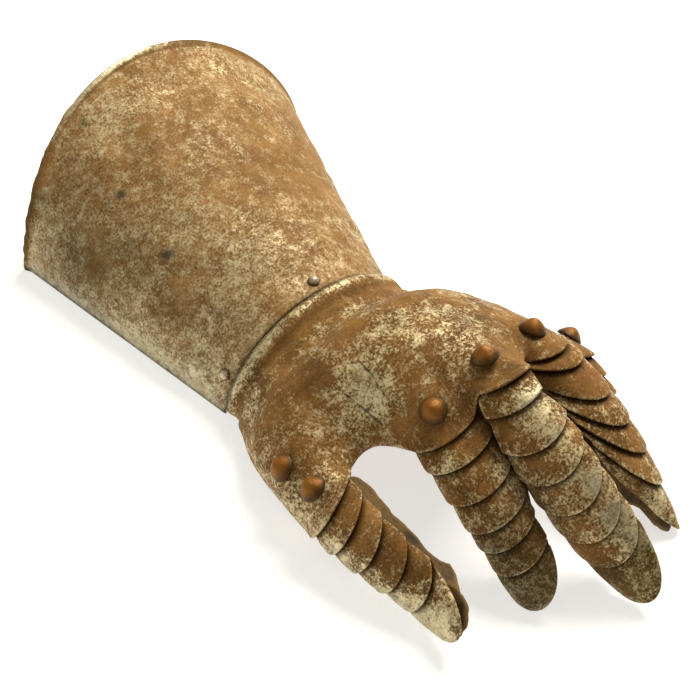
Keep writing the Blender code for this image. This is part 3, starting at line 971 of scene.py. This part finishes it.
FINGERS = (
    Finger("thumb", (-77, -85, 17), -7, -1, -58, (8.5, -0.5), 0, -2, (9.5, 11, 12.5, 12, 19),
           (15.5, 12.5, 11), (12, 8, 12), (11, 8.5, 24.5), (180, 20), (180, 0), (172, 0),
           36.0, (0.4, 0.8), (0.5, 7), (0, 3.6, 0.25), (3.2, -1.2)),
    Finger("index", (-29, -95, 38), -7, 17, -30, (4, 4), -1.5, -4.5, (10.5, 14, 12, 8, 10, 16.5),
           (16.5, 13.1, 12.7), (12, 11.5, 10), (9.5, 6.5, 19), (165, 45), (180, 0), (180, 0),
           21.0, (2.5, 0.95), (4, 3), (0.5, 5.5, 0)),
    Finger("middle", (-6, -99, 55), -11, 11, -19, (7, 7), 0.75, -5.5, (10, 16, 12.5, 13, 13, 12.5, 20),
           (16, 15, 13.1), (13.5, 10, 12.5), (10, 14.5, 23), (140, 45), (150, 45), (170, 0),
           21.0, (2.5, 0.9), (7, 1), (4.5, 0, 0)),
    Finger("ring", (31, -92, 41), 4, 11, -3, (8.5, 2.5), -0.5, 7, (7, 15.5, 12.5, 12.5, 14.5, 20.5),
           (13.5, 17.5, 9), (13.5, 15.5, 15), (15.5, 29, 28.5), (150, 40), (160, 44), (178, 38),
           21.0, (1.0, 1.0), (10, 1), (2.5, 0, 1.0), (-2.2, 3.2)),
    Finger("little", (51, -90.5, 26), 12, 33, 46, (3.5, -2), -1, -6, (9.5, 8.5, 8, 8, 8, 12),
           (12.5, 9.5, 9), (12, 9, 8.5), (9, 9, 15.5), (160, 8), (150, 42), (150, 16),
           21.0, (5.0, 0.8), (0.5, 0)),
)


# ---------------- hand plate

@dataclass(frozen=True)
class HandPlate:
    """The shaped plate over the back of the hand, from under the cuff to the finger lobes."""

    cuff: Cuff
    tuck: float = 12.0                   # from how far under the cuff it comes, and to how far
    tuck_end: float = 1.5
    tuck_clearance: float = 0.7
    edge_angle: float = 8.0              # from level up to its long edges
    wrist_spread: float = 0.8            # how steeply it widens and rises from the wrist
    wrist_rise: float = 0.72
    wrist_pull: float = 1.65             # how far its curves keep their direction at either end
    front_pull: float = 0.25
    lobe_columns: int = 7
    lobe_blend: float = 0.09             # how widely the lobes are evened out behind the front edge
    lobe_edge_blend: float = 0.004
    lobe_fade: float = 4.3               # how late they stand out again
    column_pitch: int = 6
    row_pitch: int = 8
    # where its rows lie, from the wrist to the front edge
    row_shares: tuple[float, ...] = (0.0, 0.022, 0.042, 0.06, 0.08, 0.1, 0.125, 0.16, 0.21, 0.27, 0.35,
                                     0.44, 0.55, 0.66, 0.77, 0.86, 0.93, 1.0)
    # the front edge between thumb and index
    web: tuple[Triple, ...] = ((-57.0, -70.0, 27.0), (-51.0, -72.0, 31.0), (-46.0, -77.0, 32.0))
    web_heading: Triple = (0.1, -0.95, 0.1)
    collar: Triple = (5.0, 3.8, 3.2)     # centre, half width and height, ahead of the cuff's edge
    collar_start: float = 2.0
    groove: Triple = (10.8, 2.6, 1.5)
    valley: Triple = (19.5, 8.8, 6.0)
    valley_span: Pair = (0.58, 0.47)
    worn_ridge: Pair = (5.0, 2.8)         # bands across it: centre and half width
    # painted shade in the groove behind the collar: furrow_shade takes bare steel off, hollow_shade lays a
    # dark line
    furrow_shade: Pair = (11.5, 3.5)
    hollow_shade: Pair = (10.0, 1.2)
    dent: float = 0.4
    calm_border: float = 10.0            # the dents fade out this far from an edge
    worn: tuple[Patch, ...] = patches(
        (-24, -31, 59, 11, 0.08), (-5, -38, 63, 12, 0.03), (-13, -48, 63, 10, 0.01),
        (-42, -38, 50, 11, 0.16), (-42, -50, 48, 8, 0.16), (-60, -36, 37, 12, 0.09),
        (-71, -55, 30, 13, 0.04), (-84, -49, 12, 14, 0.10), (-47, -60, 34, 7, 0.08),
        (-36, -72, 52, 13, -0.10), (-30, -19, 55, 9, -0.14), (-4, -21, 59, 10, -0.10),
        (25, -60, 55, 16, -0.09), (-5, -74, 62, 10, -0.04), (-50, -25, 46, 8, -0.10),
        (-62, -21, 36, 12, -0.03), (8, -55, 61, 8, 0.06))
    stains: tuple[Patch, ...] = patches(
        (-47, -19, 47, 3.2, 0.4), (-51, -27, 44, 5.0, 0.1), (-35, 6, 45, 1.6, 0.5))

    def columns(self) -> tuple[np.ndarray, np.ndarray, dict[str, int]]:
        """Lay out the front edge's own columns, thumb side first.

        Returns:
            Their points, their forward directions and the number of each lobe's first column.
        """
        points, directions, starts = [], [], {}
        for finger in FINGERS:
            starts[finger.name] = len(points)
            points.extend(finger.end_curve(0, np.linspace(*np.radians(finger.lobe), self.lobe_columns)))
            directions.extend([finger.frames()[0][2]] * self.lobe_columns)
            if finger.name == "thumb":
                points.extend(self.web)
                directions.extend([self.web_heading] * len(self.web))
        return np.array(points), unit(np.array(directions)), starts

    def lines(self, shares: np.ndarray, start: np.ndarray, leave: np.ndarray, end: np.ndarray,
              arrive: np.ndarray) -> np.ndarray:
        """Lay smooth curves, one for each column, between two rows of points.

        Args:
            shares: the places on the curves, from 0 to 1.
            start: the first row.
            leave: the unit directions in which the curves leave it.
            end: the last row.
            arrive: the unit directions in which they reach it.

        Returns:
            One row of points for each place.
        """
        span = np.linalg.norm(end - start, axis=1, keepdims=True)
        rows = []
        for share in shares:
            a = 2 * share**3 - 3 * share**2 + 1
            b = share**3 - 2 * share**2 + share
            c = 3 * share**2 - 2 * share**3
            d = share**3 - share**2
            pull = b * self.wrist_pull * leave + d * self.front_pull * arrive
            rows.append(a * start + c * end + span * pull)
        return np.array(rows)

    def grid(self) -> tuple[np.ndarray, np.ndarray, dict[str, slice]]:
        """Lay the surface from under the cuff to the front edge.

        Its curves run to an even edge without lobes, and the lobes fade in along them.

        Returns:
            The fine outer surface, the height of its relief and each lobe's columns.
        """
        coarse, directions, starts = self.columns()
        steps = np.linalg.norm(np.diff(coarse, axis=0), axis=1)
        along = np.concatenate(((0.0,), np.cumsum(steps))) / steps.sum()
        width = self.lobe_blend * np.sqrt(np.clip(np.sin(math.pi * along), 0.0, 1.0)) + self.lobe_edge_blend
        spread = np.exp(-0.5 * ((along[:, None] - along[None, :]) / width[:, None]) ** 2)
        spread /= spread.sum(axis=1, keepdims=True)
        places = np.linspace(0, len(coarse) - 1, (len(coarse) - 1) * self.column_pitch + 1)
        even, front = resample(spread @ coarse, places), resample(coarse, places)
        ahead = unit(resample(directions, places))
        lobes = {}
        for finger in FINGERS:
            start = starts[finger.name]
            stop = start + self.lobe_columns - 1
            inside = (places >= start) & (places <= stop)
            first, last = np.radians(finger.lobe)
            turn = (places[inside] - start) / (stop - start)
            front[inside] = finger.end_curve(0, first + (last - first) * turn)
            lobes[finger.name] = slice(start * self.column_pitch, stop * self.column_pitch + 1)
        along = np.interp(places, np.arange(len(coarse)), along)
        edge = math.radians(self.edge_angle)
        angles = math.pi - edge - (math.pi - 2 * edge) * along
        inset = PLATE_THICKNESS + self.tuck_clearance
        hidden = [self.cuff.section(y, angles, -inset)
                  for y in np.linspace(self.tuck, self.tuck_end, self.row_pitch)]
        leave = unit(np.stack((self.wrist_spread * np.cos(angles), -np.ones_like(angles),
                               self.wrist_rise * np.sin(angles)), -1))
        places = np.linspace(0, len(self.row_shares) - 1, len(self.row_shares) * self.row_pitch)
        shares = resample(np.array(self.row_shares), places)
        rows = self.lines(shares, self.cuff.section(0.0, angles, -inset), leave, even, ahead)
        rows = rows + (front - even) * (shares ** self.lobe_fade)[:, None, None]
        base = np.concatenate((hidden, rows))
        relief = self.relief(-base[..., 1], along)
        return base + grid_normals(base) * relief[..., None], relief, lobes

    def relief(self, distance: np.ndarray, along: np.ndarray) -> np.ndarray:
        """Return the height of collar, groove and valley at each distance from the seam."""
        raised, sunk, dip = (size[2] * bump(distance, size[0], size[1])
                             for size in (self.collar, self.groove, self.valley))
        start = np.clip(distance / self.collar_start, 0.0, 1.0)
        return start * (raised - sunk - dip * bump(along, *self.valley_span))

    def marks(self, grid: np.ndarray, relief: np.ndarray) -> dict[str, np.ndarray]:
        """Return where the surface is worn and stained, and where it takes painted shade under and just past
        the cuff's edge.

        Args:
            grid: the surface without its dents.
            relief: its height above the smooth form.

        Returns:
            The marks that the steel finish reads.
        """
        ahead = -grid[..., 1]
        low = low_share(grid, 30.0)
        wear = patched(grid, self.worn) + 0.03 * np.clip(relief, -0.3, 3.0) - 0.02
        # Less bare steel across the furrow: painted shade in the groove behind the collar.
        wear = wear + 0.11 * bump(ahead, *self.worn_ridge) - 0.10 * bump(ahead, *self.furrow_shade)
        # Paler bare steel low on the thumb side: partly real wear, partly painted bounce light from the
        # floor.
        wear = wear + 0.12 * low
        # A dark line along the hollow: a painted shadow in the groove.
        stain = patched(grid, self.stains) + 0.22 * bump(ahead, *self.hollow_shade)
        # root sets the painted seam shadow: dark under and just past the cuff's edge, and wider low on the
        # thumb side.
        root = np.clip((ahead - 2.8 - 2.0 * low) * 2.0, 1.2, NO_ROOT)
        return {"edge": edge_distance(grid), "root": root, "wear": wear, "stain": stain}

    def build(self, material: Material) -> dict[str, np.ndarray]:
        """Make the hand plate.

        Args:
            material: what it is made of.

        Returns:
            Its surface over each finger, by the finger's name.
        """
        grid, relief, lobes = self.grid()
        surface = dented(grid, -grid[..., 1], self.dent, self.calm_border)
        sheet = Sheet("hand_shell", surface, PLATE_THICKNESS, self.marks(grid, relief))
        fit(sheet.build(material), "plate_steel", "hand_plate")
        return {name: grid[:, columns] for name, columns in lobes.items()}


# ---------------- lames and leather

LAME_WEAR = patches(
    (-6, -96, 63, 8, 0.24), (-7, -109, 59, 7, 0.16), (-4, -120, 53, 7, 0.09), (-4, -131, 46, 7, 0.26),
    (-3, -144, 37, 7, 0.32), (-1, -153, 28, 7, 0.20), (1, -165, 12, 8, 0.12), (-20, -112, 45, 9, -0.06),
    (-40, -87, 40, 7, 0.14), (-21, -103, 42, 7, 0.18), (-25, -112, 38, 6, 0.10), (-42, -120, 21, 6, 0.14),
    (-40, -134, 10, 7, 0.12), (-28, -92, 47, 6, -0.06), (21, -93, 43, 6, 0.08), (22, -104, 38, 6, 0.08),
    (22, -115, 32, 6, 0.10), (24, -128, 25, 7, 0.08), (33, -95, 47, 9, -0.06), (35, -142, 15, 9, 0.14),
    (-88, -76, 14, 8, 0.22), (-87, -86, 10, 8, 0.18), (-84, -101, 9, 8, 0.22), (-81, -112, 6, 8, 0.26),
    (-79, -126, 9, 9, 0.42), (-69, -116, 21, 8, -0.02), (-75, -73, 30, 9, -0.08), (-73, -96, 27, 9, -0.04),
    (-70, -117, 23, 9, 0.02), (25, -78, 50, 10, -0.08))
# Darker patches on the index's lower lames and on the middle finger's side next to the index.
LAME_DARK_PATCHES = patches(
    (-42, -140, 6, 20, 0.5), (-38, -122, 24, 14, 0.38), (-23, -118, 40, 9, 0.35),
    (-22, -134, 30, 8, 0.3), (-12, -158, 12, 9, 0.35))


@dataclass(frozen=True)
class FingerChain:
    """The lames of one finger and the leather strip under them."""

    finger: Finger
    lobe: np.ndarray                  # the hand plate's surface over the finger
    columns: int = 49
    row_pitch: int = 9
    strip_depths: Triple = (2.3, 2.4, 3.6)       # of its first rows, below the hand plate
    strip_last_place: float = 8.5
    strip_under_lame: float = 2.2
    strip_tip_inset: float = 3.2
    strip_pitch: int = 7
    strip_full_drop: float = 3.0      # the rows from the lobe over which it comes to its full drop
    strip_sink: float = 3.0           # most that it sinks where it stands out beside the tip
    strip_ends: float = 7.0           # one part in so many of its width hangs at either side
    fray: float = 0.55
    rim_wear: float = 0.04
    rim_border: float = 4.0

    def cover(self) -> np.ndarray:
        """Carry the hand plate's surface on round the arch, past the lobe.

        Returns:
            Its rows of points, in the lames' own columns.
        """
        start, stop = np.radians(self.finger.lobe)
        angles = self.finger.wrap_angles(1, self.columns)
        held = np.clip(angles, stop, start)
        places = (start - held) / (start - stop) * (self.lobe.shape[1] - 1)
        low = np.minimum(places.astype(int), self.lobe.shape[1] - 2)
        part = (places - low)[:, None]
        beyond = self.finger.end_curve(0, angles) - self.finger.end_curve(0, held)
        return self.lobe[:, low] * (1 - part) + self.lobe[:, low + 1] * part + beyond

    def lames(self) -> list[np.ndarray]:
        """Lay out the lames, each of them tucked under the one before it.

        Returns:
            Four rows of each, from its rear edge under its parent to its free end.
        """
        grids = []
        parent, thickness = self.cover(), PLATE_THICKNESS
        last = len(self.finger.steps)
        for index in range(1, last + 1):
            depth = thickness + CLEARANCE
            pair = np.array((row_behind(parent, OVERLAP), parent[-1]))
            inward = grid_normals(pair)
            rear = pair[0] - inward[0] * depth
            under = pair[1] - inward[1] * (depth + LAME_FLARE)
            end = self.finger.end_curve(index, self.finger.wrap_angles(index, self.columns))
            outward = grid_normals(np.array((under, end))).mean(axis=0)
            middle = (under + end) / 2 + outward * (TIP_BULGE if index == last else LAME_BULGE)
            parent, thickness = np.array((rear, under, middle, end)), LAME_THICKNESS
            grids.append(parent)
        return grids

    def strip(self, lames: list[np.ndarray]) -> np.ndarray:
        """Lay the leather under the lames.

        Args:
            lames: their rows.

        Returns:
            Its outer surface, from under the hand plate to the tip.
        """
        last = len(lames)
        cover = self.cover()
        normals = grid_normals(cover)
        backs = [back for _, _, _, back in self.finger.frames()]
        starts = np.linspace(self.finger.strip_start, self.strip_last_place, len(self.strip_depths))
        rows = [row_behind(cover - normals * depth, place)
                for place, depth in zip(starts, self.strip_depths)]
        for index, lame in enumerate(lames, 1):
            row = lame[1] - grid_normals(lame)[1] * self.strip_under_lame
            tightened = (index / last) ** 3 * (1.0 - self.finger.strip_spread[2])
            drop = min((index + 1) / self.strip_full_drop, 1.0)
            rows.append(self.hung(row, backs[index - 1], drop, 1.0 - tightened))
        rows.append(self.hung(self.strip_end(last), backs[last], 1.0, self.finger.strip_spread[2]))
        places = np.linspace(0, len(rows) - 1, (len(rows) - 1) * self.strip_pitch + 1)
        return resample(np.array(rows), places)

    def strip_end(self, last: int) -> np.ndarray:
        """Lay the leather's end, which may stand out beside the tip on either side.

        Args:
            last: the number of the last lame.

        Returns:
            Its last row.
        """
        _, across, _, back = self.finger.frames()[last]
        angles = self.finger.wrap_angles(last, self.columns)
        sine, cosine = np.sin(angles), np.cos(angles)
        tip = self.finger.end_curve(last, angles, self.strip_tip_inset, *self.finger.strip_tip)
        beside = self.strip_tip_inset - np.where(angles > math.pi / 2, *self.finger.strip_inset)
        beside = beside * (0.55 + 0.9 * sine)
        sunk = np.clip(beside, 0.0, self.strip_sink) * sine * np.abs(cosine)
        return tip + np.outer(beside * cosine, across) - np.outer(sunk, back)

    def hung(self, row: np.ndarray, back: np.ndarray, drop: float, looseness: float) -> np.ndarray:
        """Return a strip's row with its ends hung further down and standing out sideways.

        Args:
            row: the row as it lies under the lames.
            back: the direction of the back of the finger.
            drop: the share of the full reach that it hangs by.
            looseness: the share of the full spread that it stands out by.

        Returns:
            The moved row.
        """
        share = np.linspace(0.0, 1.0, len(row))[:, None]
        left = np.clip(1.0 - share * self.strip_ends, 0.0, 1.0)
        right = np.clip(1.0 - (1.0 - share) * self.strip_ends, 0.0, 1.0)
        down = drop * (left * self.finger.strip_reach[0] + right * self.finger.strip_reach[1])
        out = right * self.finger.strip_spread[1] - left * self.finger.strip_spread[0]
        return row - back * down + unit(row[-1] - row[0]) * out * drop * looseness

    def frayed(self, grid: np.ndarray) -> np.ndarray:
        """Nibble the strip's free edges in and out.

        Args:
            grid: its surface.

        Returns:
            The ragged surface.
        """
        rows, columns = grid.shape[:2]
        clear = np.clip(np.linspace(-0.8, 3.2, rows), 0.0, 1.0)[:, None, None]    # of the hand plate
        pull = self.fray * FRAYS.depth(grid)[..., None] * clear
        sides = unit(np.gradient(grid, axis=1)) * np.linspace(-1.0, 1.0, columns)[None, :, None] ** 15
        ahead = unit(np.gradient(grid, axis=0)) * np.linspace(0.0, 1.0, rows)[:, None, None] ** 20
        return grid + pull * (sides + ahead)

    def build(self, lame: Material, tip: Material, leather: Material) -> None:
        """Make the finger's lames and its leather strip.

        Args:
            lame: the material of the lames.
            tip: that of the last one.
            leather: that of the strip.
        """
        lames = self.lames()
        places = np.linspace(0.0, 3.0, 3 * self.row_pitch + 1)
        hidden = np.zeros((self.row_pitch, self.columns))
        for index, rows in enumerate(lames, 1):
            grid = resample(rows, places)
            edge = edge_distance(grid)
            worn = patched(grid, LAME_WEAR) + self.rim_wear * (1.0 - fading(edge, self.rim_border))
            # root is 0 under the parent and then the distance past its edge, where the finish paints shade.
            marks = {"edge": edge, "root": np.concatenate((hidden, reach(grid[self.row_pitch:]))),
                     "wear": worn, "stain": patched(grid, LAME_DARK_PATCHES)}
            name = f"{self.finger.name}_lame_{index}"
            slot, material = ("tip_steel", tip) if index == len(lames) else ("lame_steel", lame)
            fit(Sheet(f"{name}_shell", grid, LAME_THICKNESS, marks).build(material), slot, name)
        grid = self.frayed(self.strip(lames))
        strip = Sheet(f"{self.finger.name}_leather", grid, LEATHER_THICKNESS, {"edge": edge_distance(grid)})
        fit(strip.build(leather), "leather", f"{self.finger.name}_strip")


# ---------------- rivets

@dataclass(frozen=True)
class RivetSet:
    """Domed rivet heads of one size, turned and set by Geometry Nodes."""

    name: str
    nodes: tuple[str, ...]
    radius: float
    height: float
    point: float             # power of the dome's profile
    tip: float = 0.0         # share of the height that stands up as a blunt cone
    foot: float = 0.4        # how far the head reaches down to close the joint
    sides: int = 40
    rings: int = 22
    face_share: float = 0.8  # share of the rings that form the dome

    @staticmethod
    def axis(node: str) -> tuple[np.ndarray, np.ndarray]:
        """Find how a rivet head sits.

        Args:
            node: the rivet's solid.

        Returns:
            The middle of the head's flat face and the direction of its crown.
        """
        points = np.array([vertex.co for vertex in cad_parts[node].data.vertices])
        points = np.unique(np.round(points, 7), axis=0)
        centre = points.mean(axis=0)
        # A turned solid spreads alike in two directions, and the lone third one is its axis.
        spread, directions = np.linalg.eigh(np.cov((points - centre).T))
        pairs = np.abs(np.subtract.outer(spread, spread)) + np.eye(3) * spread.max()
        lone = 3 - sum(np.unravel_index(pairs.argmin(), pairs.shape))
        axis = directions[:, lone]
        along = (points - centre) @ axis
        out = np.linalg.norm(points - centre - np.outer(along, axis), axis=1)
        brim = along[out > 0.95 * out.max()].mean()
        head = along[(out > 0.5 * out.max()) & (out < 0.92 * out.max())].mean()
        return centre + axis * brim, axis * math.copysign(1.0, head - brim)

    def tree(self, material: Material, sizes: dict[str, float]) -> NodeTree:
        """Turn one head from its profile and set a copy on every point.

        Args:
            material: what the tree sets on them.
            sizes: its named inputs.

        Returns:
            The tree that does so.
        """
        tree, size = new_tree("domed_rivets", sizes)
        grid, around, along = unit_grid(tree, self.sides + 1, self.rings)
        dome = (along / self.face_share).math("MINIMUM", 1.0)
        back = ((1.0 - along) / (1.0 - self.face_share)).math("MINIMUM", 1.0)
        radius = size["Radius"] * dome.math("MINIMUM", back)
        rise = (1.0 - dome ** self.point) * (1.0 - self.tip) + (1.0 - dome) ** 1.5 * self.tip
        sunk = (along - self.face_share).math("GREATER_THAN", -0.001) * size["Foot"]
        angle = around * (-2.0 * math.pi)
        marked = result(tree, "GeometryNodeStoreNamedAttribute", "Geometry",
                        {"Geometry": grid, "Name": "rise", "Value": rise}, data_type="FLOAT", domain="POINT")
        head = moved(marked, radius * angle.math("COSINE"), radius * angle.math("SINE"),
                     size["Height"] * rise - sunk)
        weld = result(tree, "GeometryNodeMergeByDistance", "Geometry",
                      {"Geometry": head, "Distance": WELD * MM})
        axis = result(tree, "GeometryNodeInputNamedAttribute", "Attribute", {"Name": "axis"},
                      data_type="FLOAT_VECTOR")
        align = result(tree, "FunctionNodeAlignRotationToVector", "Rotation", {"Vector": axis}, axis="Z")
        place = result(tree, "GeometryNodeInstanceOnPoints", "Instances",
                       {"Points": size["Geometry"], "Instance": weld, "Rotation": align})
        end_tree(place, material)
        return tree

    def build(self, material: Material, slot: str) -> None:
        """Make the set.

        Args:
            material: what it is made of.
            slot: the name of that material's slot; it is not used.
        """
        seats = [self.axis(node) for node in self.nodes]
        mesh = bpy.data.meshes.new(self.name)
        mesh.from_pydata([tuple(place) for place, _ in seats], [], [])
        layer = mesh.attributes.new("axis", "FLOAT_VECTOR", "POINT")
        layer.data.foreach_set("vector", np.concatenate([axis for _, axis in seats]).astype(np.float32))
        sizes = {"Radius": self.radius * MM, "Height": self.height * MM, "Foot": self.foot * MM}
        heads = solved(bpy.data.objects.new(self.name, mesh), self.tree(material, sizes), sizes)
        heads.shade_smooth()
        fit(placed(self.name, heads), slot, *self.nodes)


# ---------------- studio

@dataclass(frozen=True)
class Studio:
    """A pale floor, soft light and the camera."""

    target: Triple = (-0.0453, -0.0340, 0.0652)
    azimuth: float = -48.1
    elevation: float = 44.8
    roll: float = 7.5
    distance: float = 0.591
    view_angle: float = 26.2
    floor_size: float = 30.0
    floor_colours: tuple[Colour, Colour] = ((0.68, 0.68, 0.66), (0.70, 0.70, 0.69))
    floor_glow: Colour = (1.0, 1.0, 0.98)
    sky: Colour = (1.0, 0.94, 0.82)
    sky_strength: float = 0.22

    def camera(self) -> None:
        """Add the camera and make it the scene's own."""
        a, e, r = np.radians((self.azimuth, self.elevation, self.roll))
        back = np.array((math.sin(a) * math.cos(e), -math.cos(a) * math.cos(e), math.sin(e)))
        right = np.array((math.cos(a), math.sin(a), 0.0))
        right, up = turned(right, np.cross(back, right), r)
        place = np.array(self.target) + back * self.distance
        data = bpy.data.cameras.new("camera")
        data.angle = math.radians(self.view_angle)
        data.clip_start = 0.01
        camera = placed("camera", data)
        turn = Matrix(np.column_stack((right, up, back)).tolist()).to_4x4()
        camera.matrix_world = Matrix.Translation(place) @ turn
        bpy.context.scene.camera = camera

    def light(self, name: str, place: Triple, size: float, power: float, colour: Colour) -> None:
        """Add a square soft light that faces the gauntlet.

        Args:
            name: its name.
            place: where it hangs, in metres.
            size: the length of its side.
            power: its strength in watts.
            colour: its colour.
        """
        data = bpy.data.lights.new(name, "AREA")
        data.size = size
        data.energy = power
        data.color = colour
        lamp = placed(name, data)
        lamp.location = place
        lamp.rotation_euler = (Vector(self.target) - Vector(place)).to_track_quat("-Z", "Y").to_euler()

    def build(self) -> None:
        """Add the floor, the light and the camera."""
        world = bpy.data.worlds.new("studio")
        world.use_nodes = True
        sky = world.node_tree.nodes["Background"]
        give(sky.inputs["Color"], self.sky)
        give(sky.inputs["Strength"], self.sky_strength)
        bpy.context.scene.world = world
        bpy.context.scene.view_settings.view_transform = "Standard"
        bpy.ops.mesh.primitive_plane_add(size=self.floor_size)
        floor = bpy.context.active_object
        floor.name = "floor"
        paint = Paint("floor")
        floor.data.materials.append(paint.coat({
            "Base Color": paint.mix(paint.noise(400.0, 20.0) + 0.5, *self.floor_colours),
            "Roughness": 0.9,
            "Emission Color": self.floor_glow,
            "Emission Strength": 0.65}))
        self.light("key", (0.85, 0.35, 1.1), 0.7, 27.0, (1.0, 0.96, 0.88))
        self.light("fill", (-1.0, 0.2, 0.25), 0.9, 2.2, (1.0, 1.0, 0.97))
        self.camera()


OLIVE_TIPS = ("index", "middle")
SCRATCHES = (Scratch((-37.4, -31.7, 54), (-40.4, -51.4, 49), 0.55),
             Scratch((-48.9, -37.7, 45), (-45.4, -56.2, 41), 0.5))


def main() -> None:
    """Build the gauntlet's pieces in order, then the studio."""
    logging.basicConfig(level=logging.INFO, format="%(name)s: %(message)s")
    cuff = Cuff()
    cuff.build(SteelFinish("cuff_steel", Patina.TAN, softness=1.5).material())
    lobes = HandPlate(cuff).build(SteelFinish("plate_steel", scratches=SCRATCHES).material())
    lame = SteelFinish("lame_steel", bareness=-0.04).material()
    tips = {patina: SteelFinish("tip_steel", patina).material() for patina in (Patina.BROWN, Patina.OLIVE)}
    leather = LeatherFinish().material()
    for finger in FINGERS:
        tip = tips[Patina.OLIVE if finger.name in OLIVE_TIPS else Patina.BROWN]
        FingerChain(finger, lobes[finger.name]).build(lame, tip, leather)
    rivets = sorted(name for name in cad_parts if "rivet" in name)
    wrist = tuple(name for name in rivets if name.startswith("wrist"))
    domes = tuple(name for name in rivets if name not in wrist)
    large = RivetSet("copper_domes", domes, radius=6.1, height=5.2, point=2.3, tip=0.2)
    large.build(CopperFinish().material(), "copper")
    small = RivetSet("wrist_domes", wrist, radius=2.8, height=1.9, point=2.2)
    small.build(RivetSteelFinish().material(), "rivet_steel")
    Studio().build()


if __name__ == "__main__":
    main()
